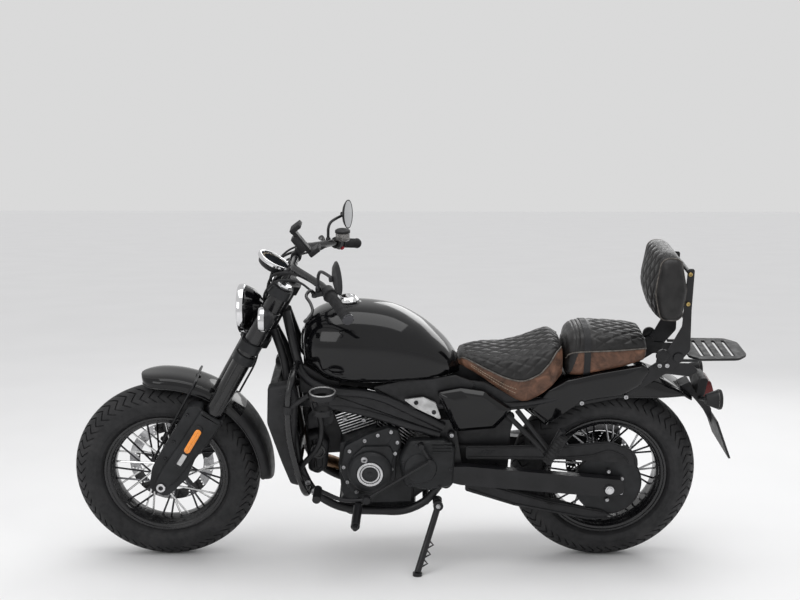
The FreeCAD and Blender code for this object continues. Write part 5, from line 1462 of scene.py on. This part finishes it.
class CRUISER_OT_controls(bpy.types.Operator):
    """Grips, levers, switch boxes, reservoir and phone clamp"""

    bl_idname = "cruiser.controls"
    bl_label = "Controls"

    def execute(self, context):
        inner = LEFT_GRIP_INNER
        way = unit(LEFT_GRIP_TIP - inner)
        piece = Piece("bar_controls_look", "steering", "black_rubber")
        h = np.linspace(0, 138, 139)
        ribs = np.stack([16.4 + 0.7 * np.cos(h * FULL_TURN / 6.0), h], -1)
        grip = np.concatenate([[(11.3, -1), (23, -1), (24, 1), (23, 4), (17, 5)], ribs[6:],
                               [(17, 139), (11.3, 139)]])
        piece.grid(oriented(spun(grip, 48), inner, way), "grip_rubber", both=True)
        piece.lathe([(0, 139.5), (17.5, 139.5, 1), (18.5, 141, 1), (18.5, 144, 1), (16, 147, 1.5), (0, 147)],
                    "dark_chrome", inner, way, both=True)
        piece.lathe([(11.3, -32, 0.5), (19, -32, 3), (21, -27, 3), (21, -4, 3), (18, -1.5, 2),
                     (11.3, -1.5, 0.5)], "moulded", inner, way, both=True, closed=True)
        perch = inner - way * 20
        end = perch + [-42, 0, -8]
        piece.tube(np.linspace(perch, end, 6), [9.5, 9.5, 9.5, 9.5, 10, 10], "satin_black", both=True)
        thick = np.interp(np.linspace(0, 1, LEVER_POINTS), [0, 0.2, 0.85, 0.95, 1], [7.5, 5.2, 4.6, 6.8, 4.5])
        piece.tube(flowing([end, *LEVER], LEVER_POINTS), thick, "semi_gloss", both=True, up=UP)
        piece.lathe([(0, -9), (9, -9, 2), (9, 9, 2), (0, 9)], "black_bolt", end, UP, up=BACK, both=True)
        button = spun(rounded([(0, -2), (4.5, -2), (4.5, 2.5, 1.2), (0, 3)], False, 4), 20)
        places = [inner - way * (9 + 9 * k) + [14, 0, 12] for k in range(2)]
        piece.copies(button, "dark_chrome", places, (0.7, 0, 0.7), both=True)
        pot = np.array([-152.0, 286, 1068])
        piece.lathe([(0, 0), (23, 0, 3), (25, 4, 2), (25, 28, 1), (0, 28)], "smoked_lens", pot, UP, up=BACK)
        piece.lathe([(0, 28), (27, 28, 1), (27, 36, 2), (21, 40, 2), (0, 40)], "moulded", pot, UP, up=BACK)
        neck = mirrored(perch) + [0, 0, 12]
        piece.tube(flowing([neck, neck * 0.5 + pot * 0.5, pot + [0, 0, 3]], 10), 8, "moulded")
        kill = unit((0.6, 0, -0.8))
        piece.lathe([(0, 0), (8, 0, 2), (8, 9, 2), (5, 12, 2), (0, 12)], "red_switch",
                    mirrored(inner - way * 8) + kill * 17, kill)
        loop = flowing(CABLE, CABLE_POINTS)
        piece.tube(loop, 4.4, "grip_rubber", sides=12, both=True)
        apart = 1 - np.linspace(0, 1, CABLE_POINTS)[:, None] ** 3
        piece.tube(loop + apart * [14, 15, -9], 3.4, "grip_rubber", sides=12, both=True)
        piece.made(["bar_controls"])
        self.phone_clamp()
        return {"FINISHED"}

    def phone_clamp(self):
        """Padded jaws and spring housing: rounded boxes square to a plate tipped 52 degrees."""
        pads = Piece("phone_pads", "steering", "black_plastic")
        tip = math.radians(52)
        along, out = np.array([math.cos(tip), -math.sin(tip)]), np.array([math.sin(tip), math.cos(tip)])
        seat = np.array([-274.0, 1137])
        for centre, half, finish in ((seat - along * 50 + out * 15, (7.5, 20, 33), "grip_rubber"),
                                     (seat + along * 50 + out * 15, (7.5, 20, 33), "grip_rubber"),
                                     (seat - out * 11, (30, 12, 22), "moulded"),
                                     (seat + along * 18 - out * 26, (14, 10, 16), "moulded")):
            corners = [(*(centre + s * along * half[0] + t * out * half[1]), 4.0)
                       for s, t in ((-1, -1), (1, -1), (1, 1), (-1, 1))]
            low, high = 14 - half[2], 14 + half[2]
            layers = [(3, low), (1, low + 1), (0, low + 3), (0, high - 3), (1, high - 1), (3, high)]
            pads.pressed(corners, layers, finish)
        pads.made()


# Engine

# Outlines of (along, up, corner radius)
GENERATOR = [(-120, 300, 40), (-152, 380, 40), (-136, 470, 30), (-60, 512, 20), (10, 538, 12), (44, 528, 10),
             (56, 480, 20), (38, 420, 30), (34, 330, 40), (-40, 280, 50)]
SPROCKET = [(62, 330, 30), (46, 430, 40), (80, 497, 20), (200, 500, 16), (236, 470, 20), (230, 330, 20),
            (150, 312, 30)]
INNER_COVER = [(-72, 474, 20), (18, 476, 16), (30, 441, 20), (16, 365, 30), (-22, 313, 40), (-71, 313, 40),
               (-110, 346, 40), (-120, 387, 30), (-108, 440, 30)]
CLUTCH = [(-150, 330, 50), (-140, 470, 40), (0, 520, 40), (120, 480, 40), (150, 380, 40), (90, 294, 50),
          (-60, 284, 50)]
# along, up
GENERATOR_SCREWS = [(-24, 512), (20, 524), (41, 486), (34, 446), (22, 388), (-68, 492), (-119, 454),
                    (-139, 395), (-127, 340), (-96, 303)]
CASE_HALF = 112.3
RIM_POINTS = 240


def inset_ring(corners, inset, count):
    """Evenly spaced points on an outline moved inwards."""
    outline = resampled(rounded(corners), RIM_POINTS, True)
    return (outline + inward_normals(outline) * inset)[::RIM_POINTS // count]


def covers():
    """Pressed covers with screws round their rims, a ringed dome on the left and a stepped one opposite."""
    piece = Piece("engine_covers_look", "chassis", "engine_black")
    face = -CASE_HALF
    piece.pressed(GENERATOR, [(0, face), (0, face - 20), (2, face - 26), (8, face - 29), (11, face - 29.5)],
                  "engine_black")
    piece.pressed(INNER_COVER, [(0, face - 27), (0, face - 34), (1.5, face - 39), (6, face - 42),
                                (11, face - 42.5)], "engine_black")
    ring_at = np.array([Bike.CRANK[0], face, Bike.CRANK[2] - 5])
    piece.lathe([(0, 38), (76, 38, 3), (75, 50, 5), (66, 60, 8), (54, 64, 4), (46, 65, 2), (44, 62, 1),
                 (0, 62)], "engine_black", ring_at, LEFT, up=BACK, sides=128)
    for inner, outer, tall in ((35, 43, 66.5), (27, 32.5, 65.5)):
        piece.lathe([(inner, 60, 0.6), (inner, tall, 1), (outer, tall, 1), (outer, 60, 0.6)], "machined",
                    ring_at, LEFT, up=BACK, sides=96, closed=True)
    piece.lathe([(0, 60), (24, 60, 1), (24, 64, 2), (10, 65, 3), (6, 62.5, 1), (0, 62.5)], "engine_black",
                ring_at, LEFT, up=BACK)
    piece.pressed(SPROCKET, [(0, face - 15), (0, face - 34), (2, face - 42), (9, face - 49),
                             (15, face - 52.6)], "engine_black")
    piece.lathe([(0, 50), (58, 50, 4), (52, 58, 6), (34, 63, 8), (0, 65)], "engine_black", (118, face, 400),
                LEFT, up=BACK, sides=96)
    for level in (460, 471, 482, 493):
        piece.tube([(158, face - 53.6, level), (190, face - 54, level), (222, face - 53.6, level)], 3.2,
                   "engine_black", sides=10, up=UP)
    piece.pressed(CLUTCH, [(0, CASE_HALF), (0, 138), (2, 145), (9, 148), (14, 148.5), (18, 157), (26, 162),
                           (36, 164.3)], "engine_black")
    piece.lathe([(0, 50), (70, 50, 4), (68, 56, 4), (50, 61, 8), (46, 59, 1), (0, 59)], "engine_black",
                (-20, CASE_HALF, 400), RIGHT, up=BACK, sides=96)
    piece.bolts(6.5, 5.5, "steel", [(x, face - 29, z) for x, z in GENERATOR_SCREWS])
    piece.bolts(11, 5, "steel", [ring_at + [-19, -61.5, 53]])
    for corners, y, way, inset, count, finish in ((SPROCKET, face - 50, LEFT, 13, 6, "black_bolt"),
                                                  (CLUTCH, 148, RIGHT, 8, 12, "steel")):
        spots = inset_ring(corners, inset, count)
        piece.bolts(5.5, 4.5, finish, np.insert(spots, 1, y, axis=1), way)
    piece.made(["engine_covers"])


def fin_mask(bank, shift):
    """1 on the skimmed edges of the fins: the faces farthest from the cylinder's own axis."""
    turn = math.radians(bank)

    def pick(centres, normals):
        x, y, z = (centres - Bike.CRANK - [0, shift, 0]).T
        across = x * math.cos(turn) - z * math.sin(turn)
        return (np.maximum(np.abs(across), np.abs(y)) > 59.6) * 1
    return pick


class CRUISER_OT_engine(bpy.types.Operator):
    """Crankcase, finned cylinders, covers, exhaust and radiator"""

    bl_idname = "cruiser.engine"
    bl_label = "Engine"

    def execute(self, context):
        dressed("crankcase", ["engine_black"])
        for node, bank, shift in (("front_cylinder", -20, 6), ("rear_cylinder", 38, -6)):
            dressed(node, ["engine_black", "fin_edge"], fin_mask(bank, shift), edge=0.0006)
        covers()

        def pipes(centres, normals):
            silencer = (centres[:, 0] > 268) & (centres[:, 1] > 150) & (centres[:, 2] < 420)
            return np.where(silencer, 0, 1)
        dressed("exhaust", ["exhaust_black", "header_bronze"], pipes, edge=0.0005)

        def core(centres, normals):
            return (np.abs(normals[:, 1]) < 0.5) * 1
        dressed("radiator", ["moulded", "engine_black"], core)
        fins = Piece("radiator_fins", "chassis", "radiator_black")
        low, high = np.array([-344.5, 0, 408]), np.array([-386.5, 0, 658])
        places = np.linspace(low, high, 56)
        path = np.stack([places + [0, y, 0] for y in (-112, 0, 112)], 1)
        fins.tube(path, 1.4, "machined", sides=6, up=unit(high - low))
        fins.made()
        return {"FINISHED"}


# Castings and tubes

REAR_LAMP = np.array([1060, -138, 640])
# node, slot, finish
PLAIN_CASTINGS = (
    ("frame", "satin_black", "satin_black"), ("swingarm", "satin_black", "satin_black"),
    ("yokes", "cast_black", "engine_black"), ("handlebar", "satin_black", "semi_gloss"),
    ("crash_bars", "satin_black", "semi_gloss"), ("side_stand", "satin_black", "satin_black"),
    ("foot_controls", "cast_black", "satin_black"), ("passenger_pegs", "cast_black", "satin_black"),
    ("backrest_frame", "satin_black", "satin_black"), ("luggage_rack", "satin_black", "moulded"),
    ("front_caliper", "cast_black", "engine_black"), ("rear_caliper", "cast_black", "engine_black"),
    ("phone_holder", "black_plastic", "moulded"), ("bottle_holder", "black_plastic", "moulded"),
    ("belt_guards", "black_plastic", "moulded"), ("tail_lamp", "lamp_red", "red_lens"))


def fork_look(centres, normals):
    """Fork leg's stations up the steering axis: foot, stanchion, ring, tube and bright cap."""
    cos, sin = math.cos(Bike.RAKE), math.sin(Bike.RAKE)
    x = centres[:, 0] - Bike.STEER_FOOT
    along, s = x * cos - centres[:, 2] * sin, x * sin + centres[:, 2] * cos
    reach = np.hypot(along - Bike.FORK_LEG[0], np.abs(centres[:, 1]) + Bike.FORK_LEG[1])
    number = np.where((s > 540) & (reach < 25), 1, 0)
    number = np.where((s > 872) & (reach < 34), 2, number)
    return np.where((s > 1156.5) & (reach < 26), 3, number)


def bracket_look(centres, normals):
    """Blank plate on the board, and lenses in the two round lamps."""
    x, y, z = centres.T
    board = (np.abs(y) < 111) & (z < 549) & (x > 1106) & (normals[:, 0] > 0.8)
    lamp = np.hypot(np.abs(y) + REAR_LAMP[1], z - REAR_LAMP[2]) < 33
    return np.where(board, 1, np.where(lamp & (x > 1099), 2, 0))


class CRUISER_OT_castings(bpy.types.Operator):
    """Frame, forks, brackets and the other cast and tubular pieces"""

    bl_idname = "cruiser.castings"
    bl_label = "Castings and tubes"

    def execute(self, context):
        dressed("forks", ["engine_black", "dark_chrome", "semi_gloss", "chrome"], fork_look)
        dressed("plate_bracket", ["moulded", "blank_plate", "smoked_lens"], bracket_look,
                edge=0.0005)
        for node, slot, finish in PLAIN_CASTINGS:
            dressed(node, [finish])
        for node in ("drive_belt", "cables"):
            dressed(node, ["grip_rubber"], edge=0)
        return {"FINISHED"}


# Trim

# Outlines of (along, up, corner radius)
UPPER_PANEL = [(-196, 664, 6), (-110, 660, 60), (-30, 654, 60), (60, 610, 60), (192, 534, 6), (186, 508, 6),
               (60, 550, 60), (-60, 586, 60), (-196, 612, 6)]
REAR_PANEL = [(-40, 676, 6), (60, 700, 60), (150, 704, 30), (232, 716, 10), (300, 690, 16), (290, 664, 20),
              (200, 640, 30), (168, 602, 12), (150, 560, 10), (120, 572, 20), (40, 622, 30), (-30, 656, 20)]
SEAT_PANEL = [(230, 700, 20), (330, 690, 40), (450, 630, 40), (520, 636, 20), (520, 600, 16), (420, 590, 20),
              (250, 600, 20)]
BATTERY_PANEL = [(228, 574, 6), (440, 570, 16), (424, 500, 16), (418, 352, 10), (240, 350, 6)]
DOWN_TUBE_PANEL = [(-280, 655, 6), (-196, 655, 6), (-160, 560, 10), (-148, 480, 8), (-148, 402, 8),
                   (-266, 394, 10), (-274, 520, 10)]
# Under the tank: a dark sheet on each side that paints the shade between tank and frame
UNDER_TANK_SHADE_SHEET = [(-200, 702, 8), (180, 702, 20), (330, 750, 10), (350, 690, 10), (330, 640, 10), (-30, 640, 20),
               (-200, 655, 8)]
TANK_PANEL = [(-284, 742, 8), (-262, 742, 8), (-190, 694, 20), (-150, 686, 10), (-150, 648, 6),
              (-284, 644, 8)]
SIDE_PLATE = [(60, 640, 3), (127, 648, 6), (168, 628, 8), (186, 573, 3), (178, 570, 3), (100, 609, 8)]
HORN = [(-268, 486, 16), (-226, 500, 20), (-190, 456, 24), (-198, 366, 26), (-228, 342, 22), (-262, 358, 16)]
HORN_TOP = [(-262, 506, 8), (-178, 528, 8), (-168, 552, 8), (-182, 600, 10), (-232, 600, 10), (-262, 560, 10)]
BRACE = [(-262, -112, 330), (-290, -124, 374), (-226, -128, 462), (-213, -126, 545), (-236, -118, 620)]
SUMP = [(-128, 300, 10), (-160, 236, 30), (-104, 192, 20), (66, 192, 20), (104, 236, 24), (96, 300, 10)]
SUMP_FOOT = [(-140, 214, 6), (-165, 231, 6), (-155, 201, 14), (-124, 182, 20), (25, 178, 14), (80, 191, 14),
             (93, 225, 6), (100, 214, 6)]
# On the steering frame: outline, layers of (inset, y) and finish
FORK_FOOT = (
    ([(-66, 648, 8), (16, 644, 10), (10, 560, 20), (-10, 470, 20), (-22, 380, 26), (-44, 318, 30),
      (-84, 330, 26), (-86, 400, 30), (-74, 520, 30)],
     [(0, -130), (0, -137), (2, -142), (6, -145), (12, -146.5)], "engine_black"),
    ([(-60, 430, 8), (-30, 428, 8), (-28, 600, 12), (-56, 600, 12)],
     [(0, -143), (0, -148), (1.5, -150), (4, -150.6)], "engine_black"),
    ([(-53, 492, 10.4), (-32, 492, 10.4), (-29, 588, 10.4), (-50, 588, 10.4)],
     [(0, -149), (0, -152.5), (2, -154), (5, -154.6)], "orange_reflector"),
    ([(-52, 440, 2), (-36, 440, 2), (-34, 484, 2), (-50, 484, 2)], [(0, -149), (0, -152), (0.8, -152.6)],
     "silver_plate"))
GUARD_FACE = -120.0
GUARD_RIBS = ([(280, 455, 1), (600, 459, 60), (757, 473, 80), (842, 436, 56), (848, 392, 4)],
              [(280, 421, 1), (600, 419, 60), (700, 428, 30), (756, 448, 40), (806, 426, 30), (822, 402, 4)],
              [(280, 327, 1), (300, 329, 20), (560, 249, 60), (738, 215, 60), (780, 200, 4)],
              [(284, 302, 1), (440, 247, 60), (698, 193, 40), (770, 194, 4)])
PEG_START, PEG_END = np.array([536.0, -196, 440]), np.array([588.0, -204, 536])
STRUT_FACE = -107.4
STAND_PIVOT, STAND_FOOT = np.array([0.11494, 0.0014, 0.2188]), np.array([0.044, -0.072, 0.012])
STAND_AXIS = (0, -0.945, 0.327)


def lip(y, *steps):
    """Layers of a thin panel on the left: a straight edge 6 mm deep, then (inset, further out) steps."""
    return [(0, 6 - y), (0, -y), *((inset, -y - out) for inset, out in steps)]


class CRUISER_OT_trim(bpy.types.Operator):
    """Panels, reflectors, plates, pads and bolts"""

    bl_idname = "cruiser.trim"
    bl_label = "Trim"

    def execute(self, context):
        self.panels()
        self.engine_parts()
        self.fork_parts()
        self.rear_parts()
        self.stand_parts()
        return {"FINISHED"}

    def panels(self):
        """Covers between the frame tubes, a dark sheet of painted shade under the tank, and the bright plate
        on the left.
        """
        panels = Piece("frame_panels", "chassis", "black_plastic")
        for corners, y in ((UPPER_PANEL, 123), (REAR_PANEL, 119), (SEAT_PANEL, 112)):
            panels.pressed(corners, lip(y, (1.2, 3), (5, 5), (9, 5.4)), "moulded", True)
        panels.pressed(BATTERY_PANEL, lip(84, (1.2, 3), (5, 4.4)), "moulded")
        panels.pressed(DOWN_TUBE_PANEL, [(0, -30), (0, -38), (1.2, -41), (5, -42)], "moulded")
        # Dark sheet under the tank on each side: painted shade between tank and frame
        panels.pressed(UNDER_TANK_SHADE_SHEET, lip(40, (1.2, 3), (5, 4)), "moulded", True)
        panels.pressed(TANK_PANEL, lip(94, (1.2, 2), (5, 3)), "moulded", True)
        panels.made()
        edge = Piece("bottle_edge", "chassis", "black_plastic")
        edge.lathe([(38.6, 9.2, 0.4), (43.4, 9.2, 0.8), (43.4, 12.4, 0.8), (38.6, 12.4, 0.4)], "silver_plate",
                   (-200, -236, 695), UP, up=BACK, sides=96, closed=True)
        edge.made()
        plate = Piece("side_plates", "chassis", "axle_steel")
        plate.pressed(SIDE_PLATE, [(0, -136), (0, -140.5), (1, -142), (3, -142.4)], "silver_plate", True)
        plate.bolts(7.5, 4, "black_bolt", [(103, -141.5, 629), (162, -141.5, 595)], both=True)
        plate.made()

    def engine_parts(self):
        """Horn, sump, brace and the screws of the cylinder heads."""
        horn = Piece("horn", "chassis", "black_plastic")
        horn.pressed(HORN, [(0, -28), (0, -84), (3, -92), (9, -97), (16, -99), (19, -96), (24, -96)],
                     "moulded")
        horn.lathe([(0, 0), (28, 0, 3), (28, 6, 3), (20, 9, 3), (17, 6, 1), (0, 7)], "semi_gloss",
                   (-228, -96, 432), LEFT, up=BACK)
        horn.pressed(HORN_TOP, [(0, -60), (0, -84), (2, -88), (6, -89.5)], "moulded")
        horn.tube(flowing(BRACE, 60), 9.5, "satin_black")
        horn.bolts(9, 6, "steel", [(-262, -122, 328), (-246, -123, 296)])
        horn.made()
        sump = Piece("sump", "chassis", "engine_black")
        sump.pressed(SUMP, [(8, -92), (2, -90), (0, -84), (0, 84), (2, 90), (8, 92)], "engine_black")
        for x in np.arange(-96, 80, 22):
            sump.pressed([(x, 196, 1), (x + 5, 196, 1), (x + 5, 292, 1), (x, 292, 1)],
                         [(0, -88), (0, -95), (1, -96)], "engine_black", True)
        sump.pressed(SUMP_FOOT, [(6, -78), (1.5, -76), (0, -71), (0, 71), (1.5, 76), (6, 78)], "engine_black")
        sump.copies(nut_shape(9, 8), "steel", [(30, -52, 182)], (0, 0, -1), up=BACK)
        sump.made()
        heads = Piece("head_screws", "chassis", "axle_steel")
        heads.bolts(7.5, 6, "steel", [(-137, -64, 536), (-72, -64, 533)])
        heads.made()

    def fork_parts(self):
        """Fork covers, a ribbed foot with its reflector, and the bright ring at the axle."""
        along, leg = Bike.steer_axis(), Bike.steered((*Bike.FORK_LEG, 0))
        covers = Piece("fork_covers", "steering", "satin_black")
        covers.lathe([(24.4, 650, 1), (29.5, 650, 1), (30.5, 668, 1), (30.5, 866, 1), (24.4, 866, 1)],
                     "semi_gloss", leg, along, up=RIGHT, both=True, closed=True)
        covers.lathe([(32.4, 858, 1), (37, 858, 2), (38, 876, 2), (36, 888, 2), (30.3, 888, 1)],
                     "engine_black", leg, along, up=RIGHT, both=True)
        for shift in (-12, 12):
            ridge = np.array([(Bike.FORK_LEG[0] + shift, -137, s) for s in (664.0, 852.0)])
            covers.tube(Bike.steered(ridge), 2.0, "semi_gloss", sides=8, both=True)
        covers.made()
        foot = Piece("fork_feet", "steering", "cast_black")
        for corners, layers, finish in FORK_FOOT:
            foot.pressed(corners, layers, finish, True, 7, Bike.steered)
        axle_end = Bike.steered((-58.9, -146, 333.2))
        foot.lathe([(8, 2, 0.5), (8, 7, 1), (15, 7, 2), (16, 2, 0.5)], "machined", axle_end, LEFT, up=BACK,
                   both=True, closed=True)
        foot.lathe([(0, 2), (8, 2), (7.6, 5, 1), (0, 5)], "black_bolt", axle_end, LEFT, up=BACK, both=True)
        spots = Bike.steered([(-95, -135.4, 500), (-92, -135.4, 430), (-98, -135.4, 610)])
        foot.bolts(6, 5, "black_bolt", spots, both=True)
        foot.made()

    def rear_parts(self):
        """Strut screws, hinge discs, peg rubbers and the lamp rims at the back."""
        bolts = Piece("strut_bolts", "chassis", "axle_steel")
        bolts.bolts(7.5, 5, "steel", [(653, -124.5, 621), (800, -118.0, 640), (906, STRUT_FACE, 748),
                                      (931, STRUT_FACE, 748)], both=True)
        bolts.bolts(7, 5, "brass", [(984, STRUT_FACE, 1062), (984, STRUT_FACE, 962)], both=True)
        bolts.lathe([(0, 0), (22, 0, 2), (22, 10, 4), (14, 13, 3), (12, 11, 1), (0, 11)], "satin_black",
                    (913, -107.2, 784), LEFT, up=BACK, both=True)
        bolts.lathe([(0, 0), (17, 0, 2), (17, 8, 3), (0, 9)], "satin_black", (966, -107.2, 776), LEFT,
                    up=BACK, both=True)
        bolts.made()
        ribs = Piece("guard_ribs", "chassis", "black_plastic")
        for corners in GUARD_RIBS:
            line = flowing(rounded(corners, False, 6), 90)
            ribs.tube(np.insert(line, 1, GUARD_FACE - 1, axis=1), 3.2, "moulded", sides=10)
        for x in (318, 336, 354):
            ribs.pressed([(x, 432, 2), (x + 10, 432, 2), (x + 18, 446, 2), (x + 8, 446, 2)],
                         [(0, GUARD_FACE + 1), (0, GUARD_FACE - 1.5), (1, GUARD_FACE - 2.2)], "grip_rubber")
        ribs.made()
        rims = Piece("rear_lamp_rims", "chassis", "black_plastic")
        rims.lathe([(28, 46, 0.8), (29, 51, 1), (33, 50, 1.5), (34, 42, 1.5), (32.3, 38, 1)], "moulded",
                   REAR_LAMP, BACK, both=True, closed=True)
        rims.shell(lens_profile(29, 48.4, 5), "smoked_lens", REAR_LAMP, BACK, 64, True)
        rims.pressed([(1052, 618, 8), (1062, 680, 12), (1090, 676, 8), (1078, 610, 8)], [(0, -45), (0, 45)],
                     "moulded")
        rims.made()
        pegs = Piece("peg_rubbers", "chassis", "black_rubber")
        h = np.linspace(0, 1, 91)
        radius = 16.5 + 1.3 * np.cos(h * FULL_TURN * 9)
        radius[0] = radius[-1] = 9
        pegs.tube(PEG_START + (PEG_END - PEG_START) * h[:, None], radius, "grip_rubber", sides=24, up=BACK,
                  both=True)
        pegs.made()

    def stand_parts(self):
        """Teeth on the back of the side stand's leg and its pivot screw."""
        pivot, foot = Bike.upright(STAND_PIVOT), Bike.upright(STAND_FOOT)
        way = unit(foot - pivot)
        length = np.linalg.norm(foot - pivot)
        out = unit(np.cross(way, RIGHT))
        out = out * np.sign(out[0])
        teeth = Piece("stand_teeth", "side_stand", "satin_black")
        for share in (0.52, 0.66, 0.80):
            base = pivot + way * length * share
            path = np.stack([base + out * 8, base + way * 9 + out * 24, base + way * 24 + out * 9])
            teeth.tube(path, 3, "satin_black", sides=10)
        axis = unit(STAND_AXIS)
        teeth.copies(nut_shape(9, 7), "steel", [pivot + axis * 10], axis, up=BACK)
        teeth.made()


# Stage

FLOOR_REACH, FLOOR_LEVEL = 40.0, -0.0002
SKY_STRENGTH = 0.9
BACKDROP = (0.70, 0.70, 0.70, 1)
# name, place, (tilt, turn) in degrees, (width, height), power
LAMPS = (("overhead", (0.2, -0.6, 3.6), (-90, 0), (3.6, 2.4), 54),
         ("front_fill", (-2.6, -3.4, 2.2), (-24, -38), (2.4, 2.0), 30),
         ("back_edge", (1.6, 3.2, 2.4), (-28, 154), (3.0, 1.2), 26))
CAMERA_PLACE = (-0.03306, -3.97409, 1.33509)
# Degrees about each axis, from a camera that looks level along +Y
CAMERA_TURN = (("Z", -0.25), ("X", -5.95), ("Y", -0.1))
FOCAL_LENGTH = 54.0


class CRUISER_OT_stage(bpy.types.Operator):
    """Pale floor, soft light and the camera"""

    bl_idname = "cruiser.stage"
    bl_label = "Stage"

    def execute(self, context):
        scene = context.scene
        mesh = bpy.data.meshes.new("floor")
        corners = [(x * FLOOR_REACH, y * FLOOR_REACH, FLOOR_LEVEL)
                   for x, y in ((-1, -1), (1, -1), (1, 1), (-1, 1))]
        mesh.from_pydata(corners, [], [(0, 1, 2, 3)])
        mesh.materials.append(Finish.get("pale_floor"))
        floor = bpy.data.objects.new("floor", mesh)
        scene.collection.objects.link(floor)
        self.sky(scene)
        for lamp in LAMPS:
            self.lamp(scene, *lamp)
        self.camera(scene)
        scene.view_settings.view_transform = "Standard"
        return {"FINISHED"}

    def sky(self, scene):
        """Soft sky light, with an even pale backdrop for what the camera sees directly."""
        world = bpy.data.worlds.new("sky")
        scene.world = world
        world.use_nodes = True
        tree = world.node_tree
        tree.nodes.clear()
        out = tree.nodes.new("ShaderNodeOutputWorld")
        soft, backdrop = tree.nodes.new("ShaderNodeBackground"), tree.nodes.new("ShaderNodeBackground")
        place = tree.nodes.new("ShaderNodeTexCoord")
        split = tree.nodes.new("ShaderNodeSeparateXYZ")
        ramp_node = tree.nodes.new("ShaderNodeValToRGB")
        for element, (at, level) in zip(ramp_node.color_ramp.elements, ((0.30, 0.30), (0.85, 1.0))):
            element.position = at
            element.color = (level, level, level * 1.01, 1)
        height = tree.nodes.new("ShaderNodeMapRange")
        height.inputs["From Min"].default_value = -1.0
        tree.links.new(place.outputs["Generated"], split.inputs[0])
        tree.links.new(split.outputs["Z"], height.inputs["Value"])
        tree.links.new(height.outputs[0], ramp_node.inputs[0])
        tree.links.new(ramp_node.outputs[0], soft.inputs["Color"])
        soft.inputs["Strength"].default_value = SKY_STRENGTH
        backdrop.inputs["Color"].default_value = BACKDROP
        backdrop.inputs["Strength"].default_value = 1.0
        path = tree.nodes.new("ShaderNodeLightPath")
        seen = path.outputs["Is Camera Ray"]
        for kind in ("Is Glossy Ray", "Is Transmission Ray"):
            add = tree.nodes.new("ShaderNodeMath")
            add.use_clamp = True
            tree.links.new(seen, add.inputs[0])
            tree.links.new(path.outputs[kind], add.inputs[1])
            seen = add.outputs[0]
        mix = tree.nodes.new("ShaderNodeMixShader")
        tree.links.new(seen, mix.inputs[0])
        tree.links.new(soft.outputs[0], mix.inputs[1])
        tree.links.new(backdrop.outputs[0], mix.inputs[2])
        tree.links.new(mix.outputs[0], out.inputs["Surface"])

    def lamp(self, scene, name, place, aim, size, power):
        """A rectangular area light that starts out looking along +Y, then is tilted and turned."""
        light = bpy.data.lights.new(name, "AREA")
        light.shape = "RECTANGLE"
        light.size, light.size_y = size
        light.energy = power
        thing = bpy.data.objects.new(name, light)
        tilt, turn = (math.radians(angle) for angle in aim)
        thing.matrix_world = (Matrix.Translation(place) @ Matrix.Rotation(turn, 4, "Z")
                              @ Matrix.Rotation(math.pi / 2 + tilt, 4, "X"))
        scene.collection.objects.link(thing)

    def camera(self, scene):
        """The camera that was fitted to the tyres in the photo."""
        lens = bpy.data.cameras.new("camera")
        lens.lens, lens.sensor_width = FOCAL_LENGTH, 36.0
        lens.clip_start, lens.clip_end = 0.05, 100
        thing = bpy.data.objects.new("camera", lens)
        place = Matrix.Translation(CAMERA_PLACE)
        for axis, angle in CAMERA_TURN:
            place = place @ Matrix.Rotation(math.radians(angle), 4, axis)
        thing.matrix_world = place @ Matrix.Rotation(math.pi / 2, 4, "X")
        scene.collection.objects.link(thing)
        scene.camera = thing


# Add-on

OPERATORS = (CRUISER_OT_wheels, CRUISER_OT_castings, CRUISER_OT_engine, CRUISER_OT_bodywork, CRUISER_OT_seats,
             CRUISER_OT_lamps, CRUISER_OT_controls, CRUISER_OT_trim, CRUISER_OT_stage)


class CRUISER_PT_build(bpy.types.Panel):
    """Buttons and sizes of the motorcycle"""

    bl_idname = "CRUISER_PT_build"
    bl_label = "Cruiser"
    bl_space_type = "VIEW_3D"
    bl_region_type = "UI"
    bl_category = "Cruiser"

    def draw(self, context):
        for operator in OPERATORS:
            self.layout.operator(operator.bl_idname)
        for group in (context.scene.cruiser_sizes, context.scene.cruiser_colours):
            for name in group.__annotations__:
                self.layout.prop(group, name)


CLASSES = (CruiserSizes, CruiserColours, *OPERATORS, CRUISER_PT_build)


def register():
    for kind in CLASSES:
        bpy.utils.register_class(kind)
    bpy.types.Scene.cruiser_sizes = PointerProperty(type=CruiserSizes)
    bpy.types.Scene.cruiser_colours = PointerProperty(type=CruiserColours)


def unregister():
    del bpy.types.Scene.cruiser_colours
    del bpy.types.Scene.cruiser_sizes
    for kind in reversed(CLASSES):
        bpy.utils.unregister_class(kind)


def main():
    """Register the add-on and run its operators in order."""
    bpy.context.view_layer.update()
    register()
    for operator in OPERATORS:
        group, name = operator.bl_idname.split(".")
        getattr(getattr(bpy.ops, group), name)()


if __name__ == "__main__":
    main()
